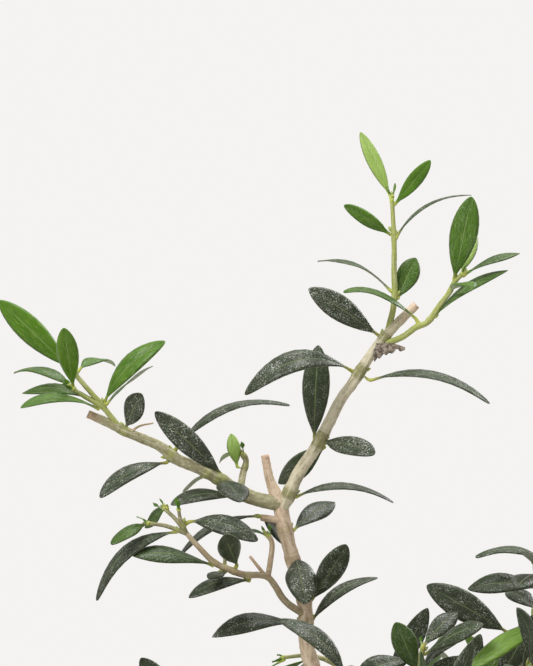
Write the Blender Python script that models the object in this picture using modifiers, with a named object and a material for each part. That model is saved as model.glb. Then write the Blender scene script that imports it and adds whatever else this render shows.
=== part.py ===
"""Olive bonsai in a plain stoneware pot, one solid for each separate piece.

Lengths in the tables are millimetres and MM turns them into metres.
The front of the tree looks along -Y, and the pot stands on Z = 0.
"""
import math
import random
from collections import namedtuple

import bmesh
import bpy
from mathutils import Vector

MM = 0.001
GAP = 0.3

# Pot, drainage screens and soil
POT_LENGTH, POT_DEPTH, POT_HEIGHT = 176.0, 128.0, 62.0
POT_CORNER = 22.0
POT_FLARE = 5.0
WALL, FLOOR = 6.0, 6.0
FOOT_HEIGHT, FOOT_LENGTH, FOOT_DEPTH = 8.0, 30.0, 20.0
FOOT_IN_X, FOOT_IN_Y = 12.0, 4.0
RIM_HEIGHT, RIM_OUT = 6.0, 3.0
DRAIN_X, DRAIN_RADIUS = 42.0, 9.0
SCREEN_SIDE, SCREEN_THICK, SCREEN_CELLS = 28.0, 0.8, 7
SOIL_TOP, SOIL_FALL = 58.0, 3.0
SOIL_RINGS = (0.8, 0.7)
PLUG_RADIUS, PLUG_DEPTH, HOLE_ROOM = 11.0, 22.0, 0.6

# Where the trunk stands in the pot
TREE_X, TREE_Y = -3.4, -4.25

# Trunk
TRUNK_SIDES_RES, BOUGH_SIDES_RES, TWIG_SIDES_RES = 4, 2, 1
FLUTE_COUNT, FLUTE_DEPTH, FLUTE_TOP = 5, 0.13, 112.0
ROOT_ANGLES = (8, 62, 118, 170, 221, 276, 322)

# Leaves
KEEL = 1.1
PETIOLE_WIDTH = 1.3
WIDEST = 0.56
BLADE_STATIONS = (0.03, 0.28, 0.58, 0.88)
SPRAY_STATIONS = (0.04, 0.42, 0.84)
LEAF_CLEAR, WOOD_CLEAR = 3.2, 1.8
NODE_SPACING = 12.2
LEAF_LONG, LEAF_SHORT = 33.0, 23.0
LEAF_WIDTH = (7.6, 9.6)
TRIES = 40

# Highest that a grown leaf reaches where the photograph shows only the backdrop: x, z
CEILING = [(-140, 195), (-40, 197), (12, 199), (20, 212), (44, 222), (56, 234), (66, 239)]

# Directions that the upper face of a leaf looks to
UP = (0.0, -0.3, 1.0)
FRONT = (0.0, -1.0, 0.15)
HALF = (0.0, -0.75, 0.65)

LEAF_GREEN = (0.045, 0.075, 0.022)
BARK_BROWN = (0.23, 0.165, 0.115)
CLAY_BROWN = (0.13, 0.095, 0.072)
SOIL_BROWN = (0.075, 0.05, 0.035)
MESH_GREEN = (0.02, 0.05, 0.03)

Leaf = namedtuple("Leaf", "heel root tip rise width face")
Stem = namedtuple("Stem", "name parent wood leaves leafy seed")

# Wood of the trunk: points are x, y, z and radius
TRUNK = [(4, 0, 58.4, 18), (3, -0.5, 68, 15.8), (0, -1, 84, 13.8), (-5, -2, 105, 12),
         (-6, -1, 128, 10.2), (-1, 1, 148, 7.5), (2, 3, 165, 5.4), (-2, 3, 182, 4.2),
         (-8, 2.5, 197, 3.3)]
BOUGHS = {
    "right_low": [(-2, 1, 143, 6), (14, -1, 158, 5.2), (30, -3, 173, 4.4), (46, -4, 189, 3.6),
                  (61, -5, 205, 2.9), (76, -6, 218, 2.3), (90, -7, 228, 1.9)],
    "left_low": [(-5, -1, 124, 6.5), (-22, -4, 136, 5.2), (-42, -7, 147, 4.2),
                 (-60, -8, 160, 3.3), (-76, -7, 173, 2.5), (-88, -6, 182, 1.9)],
    "back": [(0, 1, 150, 5), (5, 18, 162, 4.2), (9, 34, 174, 3.4), (8, 50, 187, 2.5),
             (5, 60, 194, 2)],
    "front": [(-4, -1, 136, 5), (0, -16, 146, 4), (6, -30, 158, 3.2), (13, -42, 171, 2.5),
              (19, -50, 182, 1.9)],
}
SCARS = [((-4, -2, 112), (14, -6, 118), 5.0), ((-3, 0, 132), (-6, 14, 139), 4.2),
         ((1, 2, 160), (-9, -4, 166), 3.2)]

# Leafy stems: the parent's path carries them. A leaf is root x, z, tip x, z, reach in y,
# rise of its arch, width and the direction that its upper face looks to.
# Leafy numbers wood paths that carry pairs of leaves, from a share of their length on.
STEMS = [
    Stem("leader", "trunk",
         [[(-5.5, 2.7, 191, 3.1), (-9, 2.3, 200, 2.8), (-11, 2, 208.7, 2.45),
           (-11.3, 1.5, 220.3, 2.35), (-14, 1, 230.3, 2.35), (-18, 0.5, 245.3, 2.45),
           (-19.7, 0, 253.7, 2.5), (-23, -0.5, 262, 1.6), (-24.7, -1, 270.3, 1.35)],
          [(-19, 0, 248.5, 1.4), (-26, -1.5, 249.5, 1.0)]],
         [(-15, 245.3, -1.3, 254, 16, 2, 8, (0, -0.7, 0.7)),
          (-25.7, 250, -17.5, 240.5, 12, 1, 7.5, (0.3, -0.8, 0.5)),
          (-27, 250, -54, 235.3, 4, 4.5, 8, (-0.45, -0.3, 0.84)),
          (-9, 222, 2.3, 241.3, -18, 2, 8.5, (0.2, -0.95, 0.3)),
          (-14.5, 236, -11.3, 221.5, -16, 3, 10.5, (0, -0.75, 0.65)),
          (-9, 214.7, 13.3, 228.7, 10, 4, 8, (-0.4, -0.45, 0.8)),
          (-13.5, 213.5, -42.3, 210, -8, 4.5, 9, (0, -0.6, 0.8))],
         [], 1),
    Stem("left_bough", "leader",
         [[(-19.9, 0, 254, 2.5), (-29.7, -3, 256.5, 2.4), (-39, -6, 262, 2.0),
           (-46.3, -8, 266, 1.9), (-54, -10, 269.3, 1.9), (-59.7, -11, 273.7, 1.7),
           (-69.7, -13, 278, 1.6), (-76.3, -14, 281.3, 1.5), (-83, -15, 284.3, 1.35)],
          [(-33, -4, 258.3, 1.3), (-32, 1, 264, 1.15), (-31, 3, 268, 1.0),
           (-32, 3.5, 270.5, 0.9)],
          [(-69.5, -13, 278, 0.9), (-66, -15, 280.3, 0.6), (-61.5, -17, 281.3, 0.45)]],
         [(-39, 264, -61, 285, -8, 3, 8, FRONT),
          (-53, 274, -16.3, 287, 2, 7, 9, (-0.28, -0.3, 0.95)),
          (-57.7, 268, -78.7, 257, -14, 4, 8, (-0.3, -0.7, 0.6)),
          (-39.5, 262, -32.5, 255.5, -18, 2, 10.5, (0.2, -0.75, 0.65)),
          (-35, 256.3, -55.7, 254.3, -12, 3, 8, (0, -0.55, 0.83)),
          (-43.7, 264, -52, 257.7, 12, 1, 5, UP),
          (-34, 266.7, -36, 277.3, 4, 0.5, 4.6, FRONT),
          (-31.7, 270, -40, 267.3, 8, 2.5, 4, UP),
          (-70.5, 280, -65, 291, -7, 1, 8.5, (-0.3, -0.9, 0.3))],
         [], 2),
    Stem("left_tip_shoot", "left_bough",
         [[(-72.5, -13.5, 279.5, 1.0), (-78.3, -15.5, 287, 0.9), (-85.7, -17, 295.7, 0.8),
           (-88.3, -18, 298.7, 0.65)],
          [(-78, -15.4, 286.5, 0.8), (-84, -18, 290, 0.7), (-87.7, -20, 292.7, 0.6)]],
         [(-88.5, 299, -112, 321.7, -6, 3, 8.5, FRONT),
          (-87.7, 293.5, -90, 312.7, -16, 2, 7.2, FRONT),
          (-85.7, 299, -74.7, 300, 14, 3, 7, UP),
          (-88, 293, -108, 297.7, 12, 4, 7, (0, -0.35, 0.94)),
          (-80.3, 288.5, -105, 291, 4, 3.5, 7.5, (0, -0.45, 0.9)),
          (-79.7, 286, -104.3, 286.5, -16, 4, 7.5, (0, -0.45, 0.9)),
          (-77.3, 288.7, -57.3, 308.3, -8, 4.5, 8, (-0.5, -0.8, 0.3)),
          (-76.5, 288, -62, 300, 16, 1, 6, (-0.64, 0, 0.77))],
         [], 3),
    Stem("right_bough", "leader",
         [[(-19, -0.3, 252.5, 2.0), (-17, -1, 256.5, 2.3), (-13, -4, 265.3, 2.1),
           (-7, -7, 274.3, 2.0), (0.3, -9, 288.7, 1.85), (4.3, -10, 294.3, 1.8),
           (10.3, -11, 303.7, 1.75), (17, -12, 312, 1.65), (25.3, -13, 320.3, 1.4)],
          [(11.5, -11.3, 304.5, 1.3), (17, -12.3, 305.5, 1.0), (22, -13, 304.3, 0.5)]],
         [(-5, 273, -20.3, 260.5, 22, 1, 8, (0.2, -0.9, 0.3)),
          (-5.3, 275, 11.3, 271.3, -18, 2, 9, (0, -0.8, 0.6)),
          (-8.3, 276, -7, 307, -3, 3, 9.3, (-0.1, -1, 0.1)),
          (3.2, 299, -31.3, 290.7, -12, 11, 9.5, HALF),
          (11, 295.5, 49.3, 287.7, -8, 6, 8.5, (0.1, -0.35, 0.93)),
          (-14, 256.5, 18.3, 254.3, 4, 5, 8.5, (0, -0.27, 0.96)),
          (12.5, 310.5, -10.3, 325.7, -6, 3, 8.5, FRONT)],
         [], 4),
    Stem("top_upright_shoot", "right_bough",
         [[(15.5, -11.5, 309.5, 1.15), (18, -12, 321, 1.0), (18, -12, 332, 0.95),
           (18, -11.5, 342, 0.85), (17.3, -11, 356, 0.65)]],
         [(16.7, 356.5, 7, 377.7, 6, 1, 5, FRONT),
          (18.4, 353.7, 29.7, 367.7, -10, 1, 5, (0.2, -1, 0.2)),
          (16.6, 343.7, 1.3, 353, -10, 1, 5, (-0.2, -0.9, 0.3)),
          (19, 343, 44, 356.7, 6, 4.5, 7, (-0.5, -0.1, 0.86)),
          (19.3, 322.5, 25.3, 336, 7, 1, 7.5, (0.1, -0.9, 0.4)),
          (16.5, 325.3, -7.3, 334.7, 5, 3.5, 7.5, (0.3, -0.12, 0.94))],
         [], 5),
    Stem("top_right_shoot", "right_bough",
         [[(13.5, -11.5, 307, 1.1), (20.3, -14, 309.5, 1.05), (25.3, -14.8, 313, 1.0),
           (29, -15.4, 314.7, 1.0), (33, -16, 320.3, 0.9), (36, -16.5, 324.3, 0.85),
           (37.7, -16.5, 327.7, 0.75), (40.3, -17, 330.3, 0.6)]],
         [(24.8, 316, 1, 324.3, -8, 4.5, 7.5, (-0.2, -0.4, 0.9)),
          (37.6, 328.8, 43, 355.7, -8, 2, 9.3, FRONT),
          (40.3, 331, 45, 345.7, 12, 1, 5.5, FRONT),
          (41.3, 330.3, 59.7, 337.3, 6, 1.5, 6, UP),
          (30.5, 315.5, 55.7, 331.7, 2, 3, 8, (-0.4, -0.35, 0.85)),
          (36.5, 325, 43, 326, -20, 2, 7, UP)],
         [], 6),
    Stem("lower_left_twig", "leader",
         [[(-11.5, 1.5, 217, 1.7), (-18, -5, 222, 1.5), (-23.7, -8, 230, 1.4),
           (-31.3, -11, 231, 1.4), (-36, -13, 232.7, 1.4), (-41.3, -15, 235.3, 1.3),
           (-46.3, -17, 240.3, 1.2), (-50.7, -18, 245.3, 1.0)],
          [(-23.7, -8, 230, 1.2), (-22.3, -8, 240.3, 1.1), (-23.3, -8, 243.7, 0.9)],
          [(-24.5, -8, 230.5, 0.8), (-29.7, -8, 237, 0.55)],
          [(-50, -17.8, 244.8, 0.8), (-57, -19, 247.5, 0.7), (-63, -21, 248.5, 0.6)],
          [(-50.5, -17.9, 245, 0.8), (-54, -16, 249.5, 0.7), (-57.7, -15, 253, 0.6)],
          [(-50.5, -17.9, 245, 0.8), (-52.5, -20, 250, 0.65), (-53, -21, 253, 0.55)],
          [(-38, -13.8, 233.3, 0.7), (-37.8, -12, 240.3, 0.5)]],
         [(-49, 249, -27, 243, -6, 4, 8.5, (0.1, -0.8, 0.6)),
          (-24.2, 243.9, -35.7, 242.3, 12, 2, 6, UP),
          (-34, 234.5, -38, 245.3, -20, 1, 8, FRONT),
          (-30, 229, -49.7, 224, -10, 3, 8, (-0.1, -0.5, 0.86)),
          (-38, 232, -43, 230.5, -12, 1, 5, (0, -0.6, 0.8)),
          (-42, 234.3, -68.7, 238.3, -10, 3, 8, (0, -0.65, 0.76)),
          (-54, 245.5, -80, 223, -2, 7, 9, (-0.5, -0.5, 0.7)),
          (-57, 254, -64.5, 246.5, 7, 1, 5.5, HALF),
          (-64, 248.3, -75, 242, -8, 1, 5, HALF)],
         [], 7),
    Stem("right_shoot", "right_low",
         [[(61, -5, 205, 1.4), (64, -9, 214, 1.1), (65.5, -10, 225, 1.0),
           (65, -11, 236, 0.85), (69, -12, 247, 0.7)],
          [(65.3, -10, 222, 0.9), (76, -10, 233, 0.8), (83, -9, 245, 0.6)]],
         [(66, 237, 44.7, 237, -4, 3, 8, UP),
          (64.6, 234, 61, 239.5, -16, 1, 6.5, HALF),
          (65.3, 231, 57, 228, -22, 2, 8, HALF),
          (65.5, 226.5, 42.7, 226, 6, 3, 8.5, HALF),
          (65, 219.5, 56, 224.7, 14, 2, 7, HALF),
          (55.3, 212, 28.7, 227.7, -6, 3, 10, FRONT)],
         [(0, 0.28), (1, 0.35)], 8),
    Stem("front_shoot", "front",
         [[(13, -42, 171, 1.4), (20, -34, 186, 1.2), (25, -28, 199, 1.0), (27, -25, 208, 0.8)],
          [(21, -32.8, 188.5, 1.0), (10, -30, 194, 0.8), (3, -27, 198, 0.6)]],
         [(25, 200.5, 17.7, 217, -8, 2, 8.2, FRONT),
          (27.3, 208.5, 38.7, 219, 10, 2, 7, HALF),
          (28, 206, 46.3, 216.3, -12, 3, 7.5, HALF),
          (23, 204, 4.5, 198.5, -10, 3, 8.5, HALF),
          (1.5, 199, -20.3, 217.3, 2, 5.5, 8.5, (0.5, -0.7, 0.5))],
         [(0, 0.28), (1, 0.35)], 9),
    Stem("right_front_spray", "right_low",
         [[(44, -4, 187, 1.5), (51, -17, 193, 1.1), (57, -31, 198, 0.9), (61, -43, 203, 0.7)],
          [(51, -17, 193, 1.0), (47, -25, 197, 0.8), (39, -32, 198, 0.6)],
          [(53, -22, 195, 1.0), (66, -27, 200, 0.8), (76, -32, 206, 0.6)]],
         [(38.7, 198.5, 65, 215.5, 4, 3, 7.5, HALF)],
         [(0, 0.28), (1, 0.35), (2, 0.35)], 10),
    Stem("right_tip_spray", "right_low",
         [[(84, -6.7, 223.5, 1.4), (93, -12, 232, 1.0), (98, -16, 242, 0.85),
           (100, -18, 251, 0.65)],
          [(91.5, -11, 230, 1.0), (100, -5, 232, 0.8), (107, 1, 233, 0.6)]],
         [],
         [(0, 0.28), (1, 0.35)], 11),
    Stem("right_under_spray", "right_low",
         [[(63, -5, 206.5, 1.4), (73, 5, 208, 1.1), (86, 14, 207, 0.9), (98, 20, 204, 0.7)],
          [(78, 8.5, 208, 0.9), (84, 22, 214, 0.8), (86, 33, 220, 0.6)]],
         [],
         [(0, 0.28), (1, 0.35)], 12),
    Stem("right_back_spray", "right_low",
         [[(28, -3, 171, 1.5), (37, 14, 179, 1.2), (45, 30, 185, 1.0), (51, 46, 190, 0.8)],
          [(43, 26, 183.5, 1.0), (56, 31, 190, 0.8), (68, 33, 196, 0.6)]],
         [],
         [(0, 0.28), (1, 0.35)], 13),
    Stem("right_lower_spray", "right_low",
         [[(32, -3, 175, 1.4), (46, -14, 174, 1.1), (60, -22, 176, 0.9), (74, -27, 179, 0.7)],
          [(58, -21, 175.6, 0.9), (70, -12, 180, 0.8), (82, -6, 187, 0.6)]],
         [],
         [(0, 0.28), (1, 0.35)], 14),
    Stem("left_low_tip_spray", "left_low",
         [[(-82, -6.5, 177.5, 1.4), (-92, -9, 183, 1.0), (-99, -12, 188, 0.85),
           (-105, -14, 192, 0.65)],
          [(-87, -8, 182.5, 1.0), (-95, -1, 182, 0.8), (-101, 5, 180, 0.6)]],
         [],
         [(0, 0.28), (1, 0.35)], 15),
    Stem("left_low_front_spray", "left_low",
         [[(-58, -8, 158.5, 1.5), (-64, -24, 165, 1.1), (-67, -39, 170, 0.9),
           (-68, -51, 175, 0.7)],
          [(-64.5, -26, 166, 1.0), (-77, -31, 172, 0.8), (-87, -35, 179, 0.6)],
          [(-65.5, -31, 167.5, 1.0), (-54, -38, 172, 0.8), (-45, -45, 178, 0.6)]],
         [],
         [(0, 0.28), (1, 0.35), (2, 0.35)], 16),
    Stem("left_low_back_spray", "left_low",
         [[(-40, -7, 146, 1.5), (-48, 12, 155, 1.2), (-54, 29, 163, 1.0), (-58, 44, 170, 0.8)],
          [(-52, 23, 160, 1.0), (-64, 28, 168, 0.8), (-75, 30, 177, 0.6)]],
         [],
         [(0, 0.28), (1, 0.35)], 17),
    Stem("left_low_up_spray", "left_low",
         [[(-48, -7.5, 151, 1.5), (-49, -3, 165, 1.1), (-51, 0, 178, 0.9), (-55, 2, 188, 0.7)],
          [(-49.5, -2, 168, 1.0), (-41, 5, 177, 0.8), (-36, 10, 186, 0.6)]],
         [(-54, 186, -66, 203, -6, 2, 8, FRONT)],
         [(0, 0.28), (1, 0.35)], 18),
    Stem("back_left_spray", "back",
         [[(8, 30, 171, 1.5), (-8, 41, 179, 1.1), (-23, 50, 186, 0.9), (-36, 56, 190, 0.7)],
          [(-15, 45, 182.5, 1.0), (-24, 34, 190, 0.8), (-32, 27, 194, 0.6)]],
         [],
         [(0, 0.28), (1, 0.35)], 19),
    Stem("back_right_spray", "back",
         [[(8.2, 47, 184.5, 1.4), (19, 57, 189, 1.0), (31, 64, 191, 0.8), (42, 69, 190, 0.6)]],
         [],
         [(0, 0.28)], 20),
    Stem("back_tip_spray", "back",
         [[(6, 55, 191, 1.4), (-1, 64, 196, 1.0), (-9, 71, 198, 0.8), (-18, 76, 197, 0.6)]],
         [],
         [(0, 0.28)], 21),
    Stem("front_left_spray", "front",
         [[(0.5, -18, 148, 1.4), (-14, -28, 153, 1.1), (-27, -39, 160, 0.9),
           (-37, -49, 166, 0.7)],
          [(-18, -31.5, 155, 1.0), (-28, -24, 164, 0.8), (-37, -20, 173, 0.6)]],
         [],
         [(0, 0.28), (1, 0.35)], 22),
    Stem("front_tip_spray", "front",
         [[(15.5, -45.5, 175.5, 1.4), (12, -54, 183, 1.0), (5, -61, 190, 0.8),
           (-4, -66, 195, 0.6)],
          [(14, -50, 179.5, 1.0), (26, -58, 184, 0.8), (38, -63, 188, 0.6)]],
         [],
         [(0, 0.28), (1, 0.35)], 23),
]


def smooth(path, steps):
    """Points of a Catmull-Rom curve through the rows of path, steps to a stretch."""
    rows = [Vector(row) for row in path]
    rows = [rows[0] * 2 - rows[1]] + rows + [rows[-1] * 2 - rows[-2]]
    points = []
    for a, b, c, d in zip(rows, rows[1:], rows[2:], rows[3:]):
        for k in range(steps):
            t = k / steps
            points.append(0.5 * (2 * b + (c - a) * t + (2 * a - 5 * b + 4 * c - d) * t ** 2
                                 + (3 * b - a - 3 * c + d) * t ** 3))
    return points + [rows[-2]]


def along(path, t):
    """Point at the fraction t of the length of a smoothed path."""
    points = [p.xyz for p in smooth(path, 6)]
    steps = [(b - a).length for a, b in zip(points, points[1:])]
    left = t * sum(steps)
    for a, b, step in zip(points, points[1:], steps):
        if left <= step:
            return a.lerp(b, left / step), (b - a).normalized()
        left -= step
    return points[-1], (points[-1] - points[-2]).normalized()


def leaf_frame(leaf, t):
    """Centre, side and normal of a blade at t, from 0 at the root to 1 at the tip."""
    face = Vector(leaf.face).normalized()
    bend = (leaf.root + leaf.tip) / 2 + face * 2 * leaf.rise
    centre = leaf.root * (1 - t) ** 2 + bend * 2 * t * (1 - t) + leaf.tip * t ** 2
    run = ((bend - leaf.root) * (1 - t) + (leaf.tip - bend) * t).normalized()
    side = run.cross(face).normalized()
    return centre, side, side.cross(run)


def half_width(leaf, t):
    """Half the width of a blade at t: a long taper from the stalk and a blunt tip."""
    if t < WIDEST:
        return leaf.width / 2 * math.sin(math.pi / 2 * t / WIDEST)
    return leaf.width / 2 * math.cos(math.pi / 2 * (t - WIDEST) / (1 - WIDEST)) ** 0.6


def leaf_samples(leaf):
    """Points on the midrib and both edges, for clearances."""
    points = []
    for t in (0.12, 0.3, 0.48, 0.66, 0.84, 1.0):
        centre, side, normal = leaf_frame(leaf, t)
        reach = half_width(leaf, min(t, 0.999)) * side
        points += [centre, centre + reach, centre - reach]
    return points


def shown_leaf(row, wood):
    """A hand-placed leaf: its heel is the point of the stem's wood nearest its root."""
    root_x, root_z, tip_x, tip_z, reach, rise, width, face = row
    points = [p for path in wood for p in smooth(path, 6)[1:-1]]
    heel = min(points, key=lambda p: (p.x - root_x) ** 2 + (p.z - root_z) ** 2).xyz
    root = Vector((root_x, heel.y, root_z))
    tip = Vector((tip_x, heel.y + reach, tip_z))
    return Leaf(heel, root, tip, rise, width, face)


def ceiling(x):
    """The ceiling's height at x."""
    for (x0, z0), (x1, z1) in zip(CEILING, CEILING[1:]):
        if x0 <= x < x1:
            return z0 + (z1 - z0) * (x - x0) / (x1 - x0)
    return math.inf


def clear(leaf, leaves, wood):
    """True where a new leaf keeps its distance from leaves, wood and the ceiling."""
    own = leaf_samples(leaf)
    for point in own:
        if point.z > ceiling(point.x):
            return False
        if any((point - q).length < LEAF_CLEAR for q in leaves):
            return False
    return all((point - p.xyz).length > p.w + WOOD_CLEAR for point in own[3:] for p in wood)


def leaf_pairs(path, start, rng, leaves, wood):
    """Opposite pairs of leaves along a path, each pair turned a quarter from the last."""
    length = sum((b.xyz - a.xyz).length for a, b in zip(smooth(path, 6), smooth(path, 6)[1:]))
    count = max(2, round(length * (1 - start) / NODE_SPACING))
    turn = rng.uniform(0, math.pi)
    placed = []
    for k in range(count + 1):
        share = k / count
        heel, run = along(path, min(0.985, start + (1 - start) * share))
        turn += math.pi / 2 + rng.uniform(-0.3, 0.3)
        out = run.orthogonal().normalized()
        for half in (0, math.pi):
            leaf = pick_leaf(heel, run, out, turn + half, share, rng, leaves, wood)
            if leaf is not None:
                placed.append(leaf)
                leaves += leaf_samples(leaf)
    return placed


def pick_leaf(heel, run, out, turn, share, rng, leaves, wood):
    """The first of some tries at a leaf that is clear of everything placed before it."""
    for attempt in range(TRIES):
        angle = turn + rng.uniform(-0.35, 0.35) * (1 + attempt / 8)
        away = out * math.cos(angle) + run.cross(out) * math.sin(angle)
        lean = math.radians(rng.uniform(48, 72) - 26 * share)
        way = run * math.cos(lean) + away * math.sin(lean) + Vector((0, 0, 0.18))
        way.normalize()
        size = (LEAF_LONG + (LEAF_SHORT - LEAF_LONG) * share) * rng.uniform(0.88, 1.12)
        size *= 1 - 0.25 * attempt / TRIES
        root = heel + way * 2.6
        tip = root + way * size - Vector((0, 0, rng.uniform(0.0, 3.5)))
        face = run - way * run.dot(way) + Vector((0, 0, 0.5))
        face -= way * face.dot(way)
        leaf = Leaf(heel, root, tip, rng.uniform(1.0, 3.6), rng.uniform(*LEAF_WIDTH),
                    tuple(face.normalized()))
        if clear(leaf, leaves, wood):
            return leaf
    return None


def grow():
    """Every leafy stem's leaves, hand-placed ones first and pairs by rule after them."""
    paths = [TRUNK] + list(BOUGHS.values()) + [path for stem in STEMS for path in stem.wood]
    wood = [p for path in paths for p in smooth(path, 4)]
    grown = {stem.name: [shown_leaf(row, stem.wood) for row in stem.leaves] for stem in STEMS}
    leaves = [p for placed in grown.values() for leaf in placed for p in leaf_samples(leaf)]
    for stem in STEMS:
        rng = random.Random(stem.seed)
        for number, start in stem.leafy:
            grown[stem.name] += leaf_pairs(stem.wood[number], start, rng, leaves, wood)
    return grown


def place(point):
    """A table point, in millimetres, as a point of the part in metres."""
    return Vector((point[0] + TREE_X, point[1] + TREE_Y, point[2])) * MM


def mesh_object(name, bm, collection):
    """A mesh object made from a bmesh, with its faces outward."""
    bmesh.ops.recalc_face_normals(bm, faces=bm.faces)
    mesh = bpy.data.meshes.new(name)
    bm.to_mesh(mesh)
    bm.free()
    obj = bpy.data.objects.new(name, mesh)
    collection.objects.link(obj)
    return obj


def evaluated_mesh(obj):
    """A mesh of the object as its modifiers and bevels make it."""
    bpy.context.view_layer.update()
    return bpy.data.meshes.new_from_object(obj.evaluated_get(
        bpy.context.evaluated_depsgraph_get()))


def tube(name, path, steps, sides_res, collection, grown=0.0):
    """A closed tapered tube along a smoothed path, thicker and longer by grown."""
    points = smooth(path, steps)
    ends = (points[1].xyz - points[0].xyz).normalized(), (
        points[-1].xyz - points[-2].xyz).normalized()
    curve = bpy.data.curves.new(name, "CURVE")
    curve.dimensions = "3D"
    curve.bevel_depth = MM
    curve.bevel_resolution = sides_res
    curve.use_fill_caps = True
    spline = curve.splines.new("POLY")
    spline.points.add(len(points) - 1)
    for spot, point in zip(spline.points, points):
        at = point.xyz
        if grown and point is points[0]:
            at = at - ends[0] * grown
        if grown and point is points[-1]:
            at = at + ends[1] * grown
        spot.co = (*place(at), 1.0)
        spot.radius = point.w + grown
    obj = bpy.data.objects.new(name, curve)
    collection.objects.link(obj)
    mesh = evaluated_mesh(obj)
    bm = bmesh.new()
    bm.from_mesh(mesh)
    bmesh.ops.remove_doubles(bm, verts=bm.verts, dist=0.00001)
    bpy.data.objects.remove(obj)
    bpy.data.meshes.remove(mesh)
    return mesh_object(name, bm, collection)


def blade(leaf, stations, collection):
    """A closed leaf: a grid rolled round its midrib, split alike on both faces."""
    rows = len(stations) + 1
    bm = bmesh.new()
    bmesh.ops.create_grid(bm, x_segments=4, y_segments=rows, size=0.5)
    spots = {v: (round((v.co.x + 0.5) * 4) % 4, round((v.co.y + 0.5) * rows)) for v in bm.verts}
    even = [f for f in bm.faces if min(v.co.x for v in f.verts) in (-0.5, 0.0)]
    odd = [f for f in bm.faces if f not in even]
    for faces, method in ((even, "FIXED"), (odd, "ALTERNATE")):
        bmesh.ops.triangulate(bm, faces=faces, quad_method=method)
    for vert, (column, row) in spots.items():
        if row in (0, rows):
            vert.co = place(leaf.heel if row == 0 else leaf.tip)
            continue
        t = stations[row - 1]
        centre, side, normal = leaf_frame(leaf, t)
        wide = PETIOLE_WIDTH / 2 if row == 1 else half_width(leaf, t)
        reach = {0: -side * wide, 1: normal * KEEL / 2, 2: side * wide, 3: -normal * KEEL / 2}
        vert.co = place(centre + reach[column])
    bmesh.ops.remove_doubles(bm, verts=bm.verts, dist=0.00001)
    return mesh_object("blade", bm, collection)


def apply_modifiers(obj):
    """Replace the object's mesh by its evaluated mesh."""
    mesh = evaluated_mesh(obj)
    obj.modifiers.clear()
    obj.data = mesh
    return obj


def boolean(obj, operation, other):
    """Apply a Boolean with one object or with all those of a collection."""
    mod = obj.modifiers.new(operation, "BOOLEAN")
    mod.operation = operation
    mod.solver = "MANIFOLD"
    if isinstance(other, bpy.types.Collection):
        mod.operand_type = "COLLECTION"
        mod.collection = other
    else:
        mod.object = other
    apply_modifiers(obj)
    for used in list(other.objects) if isinstance(other, bpy.types.Collection) else [other]:
        bpy.data.objects.remove(used)
    return obj


def fuse(obj, pieces):
    """Join a collection's solids to the object, and empty the collection."""
    if pieces.objects:
        boolean(obj, "UNION", pieces)
    return obj


def block(name, length, depth, low, high, corner, flare, collection):
    """A block with rounded upright edges, wider at the top by flare on every side."""
    bm = bmesh.new()
    bmesh.ops.create_cube(bm, size=2.0)
    for vert in bm.verts:
        vert.co.x *= length / 2 * MM
        vert.co.y *= depth / 2 * MM
        vert.co.z = (high if vert.co.z > 0 else low) * MM
    upright = [e for e in bm.edges if e.verts[0].co.z != e.verts[1].co.z]
    bmesh.ops.bevel(bm, geom=upright, offset=corner * MM, segments=5, profile=0.5,
                    affect="EDGES")
    for vert in bm.verts:
        if vert.co.z > (low + high) / 2 * MM:
            vert.co.x *= 1 + 2 * flare / length
            vert.co.y *= 1 + 2 * flare / depth
    return mesh_object(name, bm, collection)


def post(name, x, y, low, high, radius, sides, collection):
    """An upright cylinder."""
    bm = bmesh.new()
    bmesh.ops.create_cone(bm, cap_ends=True, segments=sides, radius1=radius * MM,
                          radius2=radius * MM, depth=(high - low) * MM)
    bmesh.ops.translate(bm, verts=bm.verts, vec=(x * MM, y * MM, (low + high) / 2 * MM))
    return mesh_object(name, bm, collection)


def paint(obj, name, colour, rough, slots={}):
    """Give an object its sub-part's material."""
    if name not in slots:
        material = bpy.data.materials.new(name)
        material.use_nodes = True
        shader = material.node_tree.nodes["Principled BSDF"]
        shader.inputs["Base Color"].default_value = (*colour, 1.0)
        shader.inputs["Roughness"].default_value = rough
        slots[name] = material
    obj.data.materials.clear()
    obj.data.materials.append(slots[name])
    return obj


def make_pot(parts, pieces):
    """Rectangular pot with a band at the rim, four feet and two drain holes."""
    pot = block("pot", POT_LENGTH - 2 * RIM_OUT, POT_DEPTH - 2 * RIM_OUT, FOOT_HEIGHT,
                POT_HEIGHT, POT_CORNER, POT_FLARE, parts)
    block("rim", POT_LENGTH + 2 * POT_FLARE, POT_DEPTH + 2 * POT_FLARE,
          POT_HEIGHT - RIM_HEIGHT, POT_HEIGHT, POT_CORNER + RIM_OUT, 0.5, pieces)
    foot_x = POT_LENGTH / 2 - RIM_OUT - FOOT_LENGTH / 2 - FOOT_IN_X
    foot_y = POT_DEPTH / 2 - RIM_OUT - FOOT_DEPTH / 2 - FOOT_IN_Y
    for x in (-foot_x, foot_x):
        for y in (-foot_y, foot_y):
            foot = block("foot", FOOT_LENGTH - 4, FOOT_DEPTH - 4, 0, FOOT_HEIGHT + 2, 5, 2, pieces)
            foot.data.transform(foot.matrix_world.Translation((x * MM, y * MM, 0)))
    fuse(pot, pieces)
    inside = block("inside", POT_LENGTH - 2 * (RIM_OUT + WALL),
                   POT_DEPTH - 2 * (RIM_OUT + WALL), FOOT_HEIGHT + FLOOR, POT_HEIGHT + 1,
                   POT_CORNER - WALL, POT_FLARE, pieces)
    boolean(pot, "DIFFERENCE", inside)
    for x in (-DRAIN_X, DRAIN_X):
        drain = post("drain", x, 0, 0, FOOT_HEIGHT + FLOOR + 5, DRAIN_RADIUS, 20, pieces)
        boolean(pot, "DIFFERENCE", drain)
    return paint(pot, "clay", CLAY_BROWN, 0.75)


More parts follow.
